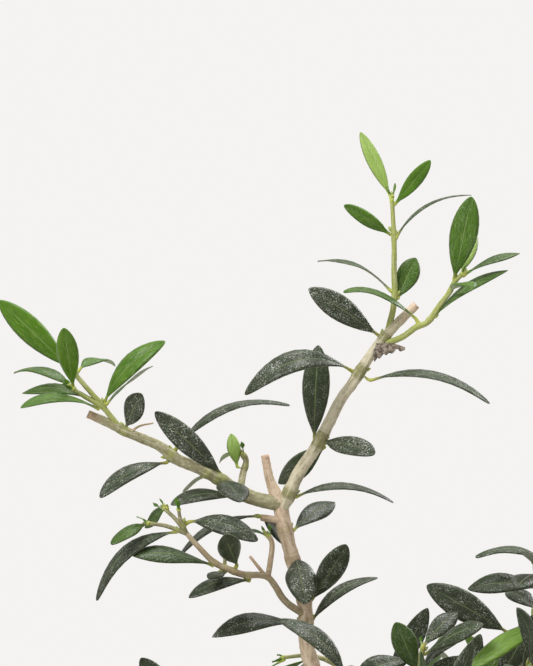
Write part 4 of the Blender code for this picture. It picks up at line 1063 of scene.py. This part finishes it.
def stem_object(stem, leaves, age):
    """The wood of one leafy stem, with a bud at each uncut tip and in most axils."""
    rng = random.Random(stem.seed + 500)
    bm = bmesh.new()
    bm.loops.layers.uv.new("stem")
    for layer in ("age", "blush"):
        bm.faces.layers.float.new(layer)
    bm.verts.layers.float.new("ring")
    knots = [leaf.heel for leaf in leaves]
    for number, path in enumerate(stem.wood):
        if (stem.name, number) == TORN:
            continue
        thick = max(row[3] for row in path)
        sides = 20 if thick > 2 else 12
        steps = 14 if thick > 2 else 9
        add_stem(bm, path, sides, steps, knots, age, (stem.name, number) in CLIPPED,
                 BLUSH.get((stem.name, number), 0.0), 0.72 if stem.name == "leader" else 0.9,
                 SLIM.get((stem.name, number), 1.0))
        end, run = along(path, 1.0)
        if (stem.name, number) not in CLIPPED:
            add_bud(bm, end, run, 2.4, 0.55, age * 0.5)
    for leaf in leaves:
        if rng.random() < BUD_SHARE:
            out = (leaf.root - leaf.heel).normalized()
            near = min(stem.wood, key=lambda p: min((q.xyz - leaf.heel).length
                                                    for q in smooth(p, 6)))
            spot_near = min(range(21), key=lambda k: (along(near, k / 20)[0]
                                                      - leaf.heel).length)
            run = along(near, spot_near / 20)[1]
            radius = min(smooth(near, 6), key=lambda q: (q.xyz - leaf.heel).length).w
            add_bud(bm, leaf.heel + out * radius * 0.8 + run * 0.8, (run + out * 0.6), 2.3,
                    0.6, min(0.05, age))
    bmesh.ops.remove_doubles(bm, verts=bm.verts, dist=MERGE_DISTANCE)
    bmesh.ops.recalc_face_normals(bm, faces=bm.faces)
    name = stem.name + "_wood"
    mesh = bpy.data.meshes.new(name)
    bm.to_mesh(mesh)
    bm.free()
    mesh.materials.append(bark_material)
    mesh.materials.append(cut_material)
    obj = bpy.data.objects.new(name, mesh)
    bpy.context.scene.collection.objects.link(obj)
    return obj


print("clipped stems:", len(CLIPPED))

# %% [markdown]
# Dressing each leafy stem
#
# The leaves that the photograph shows have an age from 0, dark and dusty, to 1, bright and
# new. The others get theirs from their length, because the short leaves near a shoot's tip
# are the newest.

# %% Ages of the leaves and the two pieces of each stem
SHOWN_AGES = {
    "leader": (0.1, 0.05, 0.15, 0.0, 0.0, 0.1, 0.05),
    "left_bough": (0.05, 0.1, 0.0, 0.0, 0.15, 0.35, 0.85, 0.5, 0.0),
    "left_tip_shoot": (0.56, 0.66, 0.42, 0.36, 0.38, 0.46, 0.48, 0.3),
    "right_bough": (0.25, 0.0, 0.2, 0.0, 0.2, 0.15, 0.0),
    "top_upright_shoot": (0.88, 0.6, 0.5, 0.25, 0.4, 0.25),
    "top_right_shoot": (0.38, 0.47, 0.88, 0.35, 0.42, 0.45),
    "lower_left_twig": (0.05, 0.35, 0.22, 0.05, 0.1, 0.26, 0.15, 0.38, 0.36),
    "right_shoot": (0.2, 0.15, 0.1, 0.1, 0.1, 0.0),
    "front_shoot": (0.32, 0.1, 0.2, 0.05, 0.0),
    "right_front_spray": (0.74,),
    "left_low_up_spray": (0.1,),
}
TIP_AGE, OTHER_STEMS_AGE = 0.6, 0.25
OLDER = {"right_shoot": 0.25, "front_shoot": 0.25, "right_front_spray": 0.3}


def leaf_ages(stem, leaves):
    """Shown leaves have their own age, and the rest are newer the shorter they are."""
    ages = list(SHOWN_AGES.get(stem.name, ()))
    for leaf in leaves[len(ages):]:
        long = (leaf.tip - leaf.root).length
        ages.append(min(0.9, max(0.0, (30.0 - long) / 9.0)) * 0.8 * OLDER.get(stem.name, 1.0))
    return ages


for stem in STEMS:
    leaves = grown[stem.name]
    ages = leaf_ages(stem, leaves)
    dust_rng = random.Random(stem.seed + 900)
    dusts = [max(0.0, dust_rng.uniform(0.55, 1.0) * (1 - 1.6 * age)) for age in ages]
    tips = opening_pairs(stem, dust_rng)
    ages += [TIP_AGE] * len(tips)
    dusts += [0.0] * len(tips)
    blades = leaf_object(stem.name + "_leaves", leaves + tips, ages, dusts, stem.seed,
                         len(SHOWN_AGES.get(stem.name, ())))
    wood = stem_object(stem, leaves, STEM_AGE.get(stem.name, OTHER_STEMS_AGE))
    for piece in (blades, wood):
        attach(piece, "root")
        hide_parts(stem.name)
print("leafy stems dressed:", len(STEMS))

# %% [markdown]
# Torn bark
#
# Where a shoot was torn off the right bough, a strip of its bark hangs from the upper edge
# of the wound. It has dried, so it is dark, thin and ragged. A grid bent downwards with noise
# along its free edge gives the torn outline, and a skin of 0.45 mm makes it a solid strip.

# %% The ragged flap of torn bark under the right bough


def dead_bark_skin():
    """Dead torn bark: dry, dull and dark grey-brown, with paler fibres."""
    # Without sap it has lost its sheen, and it reads as a dark rag beside the live bark
    material, tree, shader = shaded("dead_bark")
    spot = add(tree, "ShaderNodeTexCoord", [], "Object")
    # Fibres of 1 mm
    fibre = add(tree, "ShaderNodeTexNoise", {"Vector": spot, "Scale": 0.9 / MM, "Detail": 4.0,
                                             "Roughness": 0.7})
    skin = washes(tree, linear("#453c34"), (fibre, 0.35, 0.65, 1.0, "#94897b"))
    dress(tree, shader, skin, fibre, 0.4, 0.3, 0.9)
    shader.inputs["Specular IOR Level"].default_value = 0.2
    return material


def bark_flap():
    """A thin torn plate that hangs from the bough by its upper edge."""
    bm = bmesh.new()
    made = bmesh.ops.create_grid(bm, x_segments=30, y_segments=10, size=0.5)["verts"]
    for vert in made:
        u, v = vert.co.x + 0.5, vert.co.y + 0.5
        torn = 0.85 + 0.5 * noise.noise(Vector((u * 6, 0, 3))) + 0.12 * math.sin(31 * u)
        down = (6.4 * (1 - u) ** 1.2 + 0.9) * torn * min(1.0, 0.35 + 5 * u) * v
        x = 12.0 + 9.6 * u - 0.25 * down
        z = 307.4 - 1.4 * u + 0.7 * math.sin(math.pi * u) - down
        y = -12.6 - 1.5 * u - 1.2 * math.sin(0.55 * down)
        y += 0.5 * noise.noise(Vector((x * 0.25, down * 0.4, 9)))
        vert.co = place((x, y, z))
    bmesh.ops.recalc_face_normals(bm, faces=bm.faces)
    bmesh.ops.solidify(bm, geom=bm.faces[:], thickness=0.45 * MM)
    for face in bm.faces:
        face.smooth = True
    mesh = bpy.data.meshes.new("torn_bark_flap")
    bm.to_mesh(mesh)
    bm.free()
    mesh.materials.append(dead_bark_skin())
    obj = bpy.data.objects.new("torn_bark_flap", mesh)
    bpy.context.scene.collection.objects.link(obj)
    return obj


flap = bark_flap()
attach(flap, "root")
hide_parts("right_bough")
print("flap faces:", len(flap.data.polygons))

# %% [markdown]
# Trunk, roots and low boughs
#
# The trunk, its roots and its low boughs grew as one. They are joined by a voxel remesh,
# which melts their joints as the wood does, and then the bark's plates and furrows are
# raised by moving each point along its normal.

# %% The trunk as one skin
TRUNK_VOXEL = 0.7


def rough_tube(bm, path, sides, steps):
    """A closed tapered tube from a rolled grid."""
    line = smooth(path, steps)
    points = [p.xyz for p in line]
    frames = carried_frames(points)
    rings = len(points) + 1
    grid = bmesh.ops.create_grid(bm, x_segments=sides, y_segments=rings, size=0.5)
    for vert in grid["verts"]:
        column = round((vert.co.x + 0.5) * sides) % sides
        row = round((vert.co.y + 0.5) * rings)
        k = min(max(row - 1, 0), len(points) - 1)
        turn = 2 * math.pi * column / sides
        side, normal = frames[k]
        spread = 0.0 if row in (0, rings) else line[k].w
        vert.co = place(points[k] + (side * math.cos(turn) + normal * math.sin(turn)) * spread)


def root_path(number, angle):
    """A surface root that leaves the trunk's flare and dives into the soil."""
    foot_x, foot_y = TRUNK[0][0], TRUNK[0][1]
    turn = math.radians(angle)
    long = 33 + 5 * math.sin(number * 2.1)
    thick = 5.4 + 1.2 * math.cos(number * 1.7)
    path = []
    for reach, radius in ((7, thick + 2), (16, thick), (24, thick * 0.75), (long, 2.0)):
        x = foot_x + reach * math.cos(turn + reach / 90)
        y = foot_y + reach * math.sin(turn + reach / 90)
        lift = 12 * max(0.0, 1 - reach / 18)
        path.append((x, y, SOIL_TOP - 0.4 + radius * 0.6 + lift, radius))
    return path


def trunk_object():
    """Trunk, roots, low boughs and pruning stubs, joined and barked."""
    bm = bmesh.new()
    rough_tube(bm, TRUNK, 48, 10)
    axis = smooth(TRUNK, 12)
    for vert in bm.verts:
        height = vert.co.z / MM
        if height < FLUTE_TOP:
            centre = place(min(axis, key=lambda p: abs(p.z - height)).xyz)
            turn = math.atan2(vert.co.y - centre.y, vert.co.x - centre.x)
            deep = FLUTE_DEPTH * (1 - (height - SOIL_TOP) / (FLUTE_TOP - SOIL_TOP))
            swell = 1 + deep * math.cos(FLUTE_COUNT * turn + height / 30)
            vert.co.x = centre.x + (vert.co.x - centre.x) * swell
            vert.co.y = centre.y + (vert.co.y - centre.y) * swell
    for number, angle in enumerate(ROOT_ANGLES):
        rough_tube(bm, root_path(number, angle), 20, 6)
    for path in BOUGHS.values():
        rough_tube(bm, path, 20, 8)
    for start, end, radius in SCARS:
        rough_tube(bm, [(*start, radius * 1.15), (*end, radius)], 20, 4)
    bmesh.ops.remove_doubles(bm, verts=bm.verts, dist=MERGE_DISTANCE)
    bmesh.ops.recalc_face_normals(bm, faces=bm.faces)
    mesh = bpy.data.meshes.new("trunk_bark_skin")
    bm.to_mesh(mesh)
    bm.free()
    obj = bpy.data.objects.new("trunk_bark_skin", mesh)
    bpy.context.scene.collection.objects.link(obj)
    melt = obj.modifiers.new("melt", "REMESH")
    melt.mode = "VOXEL"
    melt.voxel_size = TRUNK_VOXEL * MM
    calm = obj.modifiers.new("calm", "SMOOTH")
    calm.factor = 0.6
    calm.iterations = 4
    bpy.context.view_layer.update()
    skin = bpy.data.meshes.new_from_object(obj.evaluated_get(
        bpy.context.evaluated_depsgraph_get()))
    obj.modifiers.clear()
    obj.data = skin
    raise_bark(skin)
    skin.materials.append(trunk_material)
    for polygon in skin.polygons:
        polygon.use_smooth = True
    return obj


def raise_bark(mesh):
    """Bark plates, deeper on the thick old wood than on the boughs."""
    moves = []
    for vert in mesh.vertices:
        at = vert.co / MM
        old = min(1.0, max(0.15, (165 - at.z) / 80))
        stretched = Vector((at.x, at.y, at.z * 0.32))
        ridge = noise.ridged_multi_fractal(stretched * 0.16, 0.9, 2.1, 4, 1.0, 2.0)
        fine = noise.noise(at * 0.9)
        moves.append(vert.normal * ((ridge - 1.2) * 0.55 * old + fine * 0.12) * MM)
    for vert, move in zip(mesh.vertices, moves):
        vert.co += move


trunk = trunk_object()
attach(trunk, "root")
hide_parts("trunk")
print("trunk triangles:", sum(len(p.vertices) - 2 for p in trunk.data.polygons))

# %% [markdown]
# Sawn faces
#
# Boughs and shoots were sawn off to shape the tree, and a ring of bark has begun to roll over
# each cut. Every face is a disc, inset in rings so that it can be domed a little, and given
# some thickness so that it is a closed cap.

# %% Sawn faces on the stubs and bough ends
CUT_SHARE, RING_SHARE, CUT_RINGS = 0.86, 0.18, 4

def sawn_face(bm, end, run, radius):
    """A slightly domed cut, each point carrying its distance from the middle for the rings."""
    turn = run.to_track_quat("Z", "Y")
    before = set(bm.verts)
    disc = bmesh.ops.create_circle(bm, cap_ends=True, segments=28, radius=radius * CUT_SHARE)
    face = disc["verts"][0].link_faces[0]
    for _ in range(CUT_RINGS):
        bmesh.ops.inset_region(bm, faces=[face], thickness=radius * RING_SHARE)
    bmesh.ops.poke(bm, faces=[face])
    for vert in set(bm.verts) - before:
        local = vert.co.copy()
        vert[bm.verts.layers.float["ring"]] = local.length / (radius * CUT_SHARE)
        local.z = 0.35 + 0.12 * noise.noise(local * 2.5) - 0.02 * local.length
        vert.co = place(end + turn @ local)


def saw_cuts():
    """The cut faces of the trunk's stubs and low boughs, each a thin closed cap."""
    bm = bmesh.new()
    bm.verts.layers.float.new("ring")
    for start, end, radius in SCARS:
        sawn_face(bm, Vector(end), (Vector(end) - Vector(start)).normalized(), radius)
    for path in BOUGHS.values():
        end, run = along(path, 1.0)
        sawn_face(bm, end, run, path[-1][3])
    mesh = bpy.data.meshes.new("saw_cuts")
    bm.to_mesh(mesh)
    bm.free()
    obj = bpy.data.objects.new("saw_cuts", mesh)
    bpy.context.scene.collection.objects.link(obj)
    solid = obj.modifiers.new("solid", "SOLIDIFY")
    solid.thickness = 0.6 * MM
    solid.offset = -1.0
    mesh.materials.append(cut_material)
    return obj


cuts = saw_cuts()
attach(cuts, "root")
print("saw cuts:", len(SCARS) + len(BOUGHS))

# %% [markdown]
# Pot
#
# The pot is unglazed stoneware, pressed in a mould and fired, so its edges are slightly
# rounded and its skin is matt, with fine grit and a faint mottling from the kiln. It starts
# as a box whose upright edges are bevelled. The cavity is cut out of it with a Boolean.

# %% Stoneware and the pot's body


def stoneware_skin():
    """Unglazed stoneware: matt warm grey-brown clay with iron specks."""
    # Without a glaze it has no bright highlight, so the leaves above it draw the eye
    material, tree, shader = shaded("unglazed_stoneware")
    spot = add(tree, "ShaderNodeTexCoord", [], "Object")
    # The kiln's mottling is 45 mm wide, the grit 0.9 mm, and an iron speck has 2.4 mm to itself
    kiln, grit = [
        add(tree, "ShaderNodeTexNoise", {"Vector": spot, "Scale": count / MM, "Detail": detail,
                                         "Roughness": rough})
        for count, detail, rough in ((0.022, 4.0, 0.6), (1.1, 3.0, 0.7))]
    iron = add(tree, "ShaderNodeTexVoronoi", {"Vector": spot, "Scale": 0.42 / MM}, "Distance")
    skin = washes(tree, linear("#6b5a4e"), (kiln, 0.3, 0.7, 1.0, "#8d7a6b"),
                  (grit, 0.5, 0.72, 0.5, "#a89787"), (iron, 0.16, 0.08, 0.8, "#352a23"))
    dress(tree, shader, skin, grit, 0.45, 0.4, 0.7)
    return material


def solid_object(name, bm):
    """A mesh object from a bmesh with its faces outward."""
    bmesh.ops.recalc_face_normals(bm, faces=bm.faces)
    mesh = bpy.data.meshes.new(name)
    bm.to_mesh(mesh)
    bm.free()
    obj = bpy.data.objects.new(name, mesh)
    bpy.context.scene.collection.objects.link(obj)
    return obj


def rounded_block(bm, length, depth, low, high, corner, flare, segments):
    """A block with rounded upright edges, wider at the top by flare on every side."""
    made = bmesh.ops.create_cube(bm, size=2.0)["verts"]
    for vert in made:
        vert.co.x *= length / 2 * MM
        vert.co.y *= depth / 2 * MM
        vert.co.z = (high if vert.co.z > 0 else low) * MM
    edges = {e for v in made for e in v.link_edges}
    upright = [e for e in edges if e.verts[0].co.z != e.verts[1].co.z]
    faces = {f for v in made for f in v.link_faces}
    before = set(bm.faces) - faces
    bmesh.ops.bevel(bm, geom=upright, offset=corner * MM, segments=segments, profile=0.5,
                    affect="EDGES", material=-1)
    new = {v for f in set(bm.faces) - before for v in f.verts}
    for vert in new:
        if vert.co.z > (low + high) / 2 * MM:
            vert.co.x *= 1 + 2 * flare / length
            vert.co.y *= 1 + 2 * flare / depth
    return new


def cut_away(obj, length, depth, low, high, corner, flare):
    """Cut a rounded block out of an object."""
    bm = bmesh.new()
    rounded_block(bm, length, depth, low, high, corner, flare, 12)
    cutter = solid_object("cutter", bm)
    take(obj, cutter, "DIFFERENCE")


def take(obj, other, operation):
    """Apply a Boolean with another object, and remove that object."""
    mod = obj.modifiers.new("join", "BOOLEAN")
    mod.operation = operation
    mod.solver = "MANIFOLD"
    mod.object = other
    bpy.context.view_layer.update()
    mesh = bpy.data.meshes.new_from_object(obj.evaluated_get(
        bpy.context.evaluated_depsgraph_get()))
    obj.modifiers.clear()
    obj.data = mesh
    bpy.data.objects.remove(other)


def pot_object():
    """Flared body, band at the rim, four feet, cavity and two drain holes."""
    bm = bmesh.new()
    rounded_block(bm, POT_LENGTH - 2 * RIM_OUT, POT_DEPTH - 2 * RIM_OUT, FOOT_HEIGHT,
                  POT_HEIGHT, POT_CORNER, POT_FLARE, 12)
    pot = solid_object("stoneware_pot", bm)
    bm = bmesh.new()
    rounded_block(bm, POT_LENGTH + 2 * POT_FLARE, POT_DEPTH + 2 * POT_FLARE,
                  POT_HEIGHT - RIM_HEIGHT, POT_HEIGHT, POT_CORNER + RIM_OUT, 0.5, 12)
    take(pot, solid_object("rim", bm), "UNION")
    foot_x = POT_LENGTH / 2 - RIM_OUT - FOOT_LENGTH / 2 - 12
    foot_y = POT_DEPTH / 2 - RIM_OUT - FOOT_DEPTH / 2 - 4
    for x in (-foot_x, foot_x):
        for y in (-foot_y, foot_y):
            bm = bmesh.new()
            made = rounded_block(bm, FOOT_LENGTH - 4, FOOT_DEPTH - 4, 0, FOOT_HEIGHT + 2, 5, 2, 6)
            bmesh.ops.translate(bm, verts=list(made), vec=(x * MM, y * MM, 0))
            take(pot, solid_object("foot", bm), "UNION")
    cut_away(pot, POT_LENGTH - 2 * (RIM_OUT + WALL), POT_DEPTH - 2 * (RIM_OUT + WALL),
             FOOT_HEIGHT + FLOOR, POT_HEIGHT + 1, POT_CORNER - WALL, POT_FLARE)
    for x in (-DRAIN_X, DRAIN_X):
        bm = bmesh.new()
        made = bmesh.ops.create_cone(bm, cap_ends=True, segments=40, radius1=DRAIN_RADIUS * MM,
                                     radius2=DRAIN_RADIUS * MM, depth=24 * MM)["verts"]
        bmesh.ops.translate(bm, verts=made, vec=(x * MM, 0, 12 * MM))
        take(pot, solid_object("drain", bm), "DIFFERENCE")
    soft = pot.modifiers.new("soft_edges", "BEVEL")
    soft.width = 1.1 * MM
    soft.segments = 3
    soft.limit_method = "ANGLE"
    soft.angle_limit = math.radians(38)
    soft.harden_normals = True
    pot.data.materials.clear()
    pot.data.materials.append(stoneware_skin())
    for polygon in pot.data.polygons:
        polygon.use_smooth = True
    return pot


pot = pot_object()
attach(pot, "root")
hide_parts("pot")
print("pot height, mm:", POT_HEIGHT)

# %% [markdown]
# Soil
#
# Bonsai soil is a gritty mix of fired clay, pumice and bark, in grains of 2 to 4 mm, so that
# water runs through it. A mounded bed carries a few thousand loose grains, each a small
# sphere with its points pushed in and out. Every grain has its own tone, and the bed under
# them is painted dark, as painted shade in the gaps between the grains.

# %% Bed and grains
GRAIN_COUNT = 4200
GRAIN_SIZES = (0.7, 1.9)
HEAP_FROM, HEAP_WIDE, HEAP_HIGH = 14, 26, 1.6
BED_TOP_FROM = 40
# The bed takes the darkest soil colour: painted shade for the gaps between the grains
BED_PAINTED_SHADE = 0.2


def grit_skin():
    """Gritty soil: ochre, brown and grey grains, over a bed whose dark colour is painted shade.
    """
    material, tree, shader = shaded("gritty_soil")
    # Each grain has its own tone, so that the bed looks loose, and the bed itself takes the dark
    # colour as painted shade in the gaps between the grains
    spot = add(tree, "ShaderNodeTexCoord", [], "Object")
    tone_and_painted_shade = add(tree, "ShaderNodeAttribute", [], "Fac", attribute_name="tone_and_painted_shade")
    # Rubbed marks of 1 mm
    rub = add(tree, "ShaderNodeTexNoise", {"Vector": spot, "Scale": 0.9 / MM, "Detail": 3.0})
    dark, clay, pale = [
        add(tree, "ShaderNodeMix", {0: rub, 6: linear(low), 7: linear(high)}, 2,
            data_type="RGBA")
        for low, high in (("#2c211a", "#4d3b2d"), ("#6f573f", "#9c8263"),
                          ("#9d978a", "#c6c1b4"))]
    skin = washes(tree, dark, (tone_and_painted_shade, 0.35, 0.5, 1.0, clay), (tone_and_painted_shade, 0.85, 0.92, 1.0, pale))
    dress(tree, shader, skin, rub, 0.6, 0.3, 0.92)
    return material


def soil_height(x, y):
    """Height of the soil, which falls from the middle of the pot to its wall."""
    reach = (2 * x / POT_LENGTH) ** 2 + (2 * y / POT_DEPTH) ** 2
    return SOIL_TOP - SOIL_FALL * min(1.0, reach)


def inside_pot(x, y, spare):
    """True where a point lies inside the pot's rounded wall by more than spare."""
    half_x = POT_LENGTH / 2 - RIM_OUT - WALL + POT_FLARE * 0.8 - spare
    half_y = POT_DEPTH / 2 - RIM_OUT - WALL + POT_FLARE * 0.8 - spare
    corner = POT_CORNER - WALL
    over_x = max(0.0, abs(x) - (half_x - corner))
    over_y = max(0.0, abs(y) - (half_y - corner))
    return math.hypot(over_x, over_y) < corner


def soil_bed(grit):
    """A closed bed with a mounded top, inside the pot's wall."""
    bm = bmesh.new()
    span_x = POT_LENGTH / 2 - RIM_OUT - WALL - 0.4
    span_y = POT_DEPTH / 2 - RIM_OUT - WALL - 0.4
    made = rounded_block(bm, 2 * span_x, 2 * span_y, FOOT_HEIGHT + FLOOR + 1.4,
                         SOIL_TOP - SOIL_FALL, POT_CORNER - WALL, POT_FLARE * 0.8, 10)
    lid = max(bm.faces, key=lambda f: f.calc_center_median().z)
    for share in (0.9, 0.85, 0.8, 0.7, 0.5):
        bmesh.ops.inset_region(bm, faces=[lid], thickness=0.01 * MM)
        for vert in lid.verts:
            vert.co.x *= share
            vert.co.y *= share
    for vert in bm.verts:
        if vert.co.z > BED_TOP_FROM * MM:
            vert.co.z = (soil_height(vert.co.x / MM, vert.co.y / MM) - 0.6) * MM
    bed = solid_object("soil_bed", bm)
    bed.data.materials.append(grit)
    # The whole bed is painted dark: painted shade for the gaps between the loose grains
    tone_and_painted_shade = bed.data.attributes.new("tone_and_painted_shade", "FLOAT", "FACE")
    for value in tone_and_painted_shade.data:
        value.value = BED_PAINTED_SHADE
    return bed


def soil_grains(grit):
    """Loose grains over the bed, heaped a little against the trunk and roots."""
    rng = random.Random(77)
    bm = bmesh.new()
    tone_and_painted_shade = bm.faces.layers.float.new("tone_and_painted_shade")
    foot = place(TRUNK[0][:3]) / MM
    placed = 0
    while placed < GRAIN_COUNT:
        x = rng.uniform(-POT_LENGTH / 2, POT_LENGTH / 2)
        y = rng.uniform(-POT_DEPTH / 2, POT_DEPTH / 2)
        size = rng.uniform(*GRAIN_SIZES) * rng.uniform(0.7, 1.0)
        if not inside_pot(x, y, size + 0.3):
            continue
        away = math.hypot(x - foot.x, y - foot.y)
        if away < HEAP_FROM:
            continue
        heap = HEAP_HIGH * max(0.0, 1 - (away - HEAP_FROM) / HEAP_WIDE)
        made = bmesh.ops.create_icosphere(bm, subdivisions=1, radius=1.0)["verts"]
        tint = rng.random()
        squash = Vector((rng.uniform(0.8, 1.2), rng.uniform(0.8, 1.2), rng.uniform(0.6, 0.95)))
        spin = rng.uniform(0, math.tau)
        for vert in made:
            local = vert.co * rng.uniform(0.82, 1.12)
            local = Vector((local.x * squash.x, local.y * squash.y, local.z * squash.z)) * size
            turned = Vector((local.x * math.cos(spin) - local.y * math.sin(spin),
                             local.x * math.sin(spin) + local.y * math.cos(spin), local.z))
            level = soil_height(x, y) + heap + rng.uniform(-0.02, 0.02) + size * 0.15 - 0.4
            vert.co = (Vector((x, y, level)) + turned) * MM
        for face in {f for v in made for f in v.link_faces}:
            face[tone_and_painted_shade] = tint
        placed += 1
    grains = solid_object("soil_grains", bm)
    grains.data.materials.append(grit)
    return grains


grit = grit_skin()
for piece in (soil_bed(grit), soil_grains(grit)):
    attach(piece, "root")
    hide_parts("soil")
print("grains:", GRAIN_COUNT)

# %% [markdown]
# Drainage mesh
#
# The squares of mesh under the soil are moulded polythene. Their CAD shape is right, so they
# only get their own plastic.

# %% Plastic for the two screens
mesh_plastic, tree, shader = shaded("moulded_polythene")
# Scuffs of 2 mm keep the plastic from looking flat
spot = add(tree, "ShaderNodeTexCoord", [], "Object")
scuff = add(tree, "ShaderNodeTexNoise", {"Vector": spot, "Scale": 0.5 / MM, "Detail": 3.0})
tint = add(tree, "ShaderNodeMix", {0: scuff, 6: linear("#1d3a28"), 7: linear("#35543f")}, 2,
           data_type="RGBA")
tree.links.new(tint, shader.inputs["Base Color"])
shader.inputs["Roughness"].default_value = 0.5
for name in ("drainage_screen_left", "drainage_screen_right"):
    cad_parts[name].data.materials.clear()
    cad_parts[name].data.materials.append(mesh_plastic)
print("screens dressed: 2")
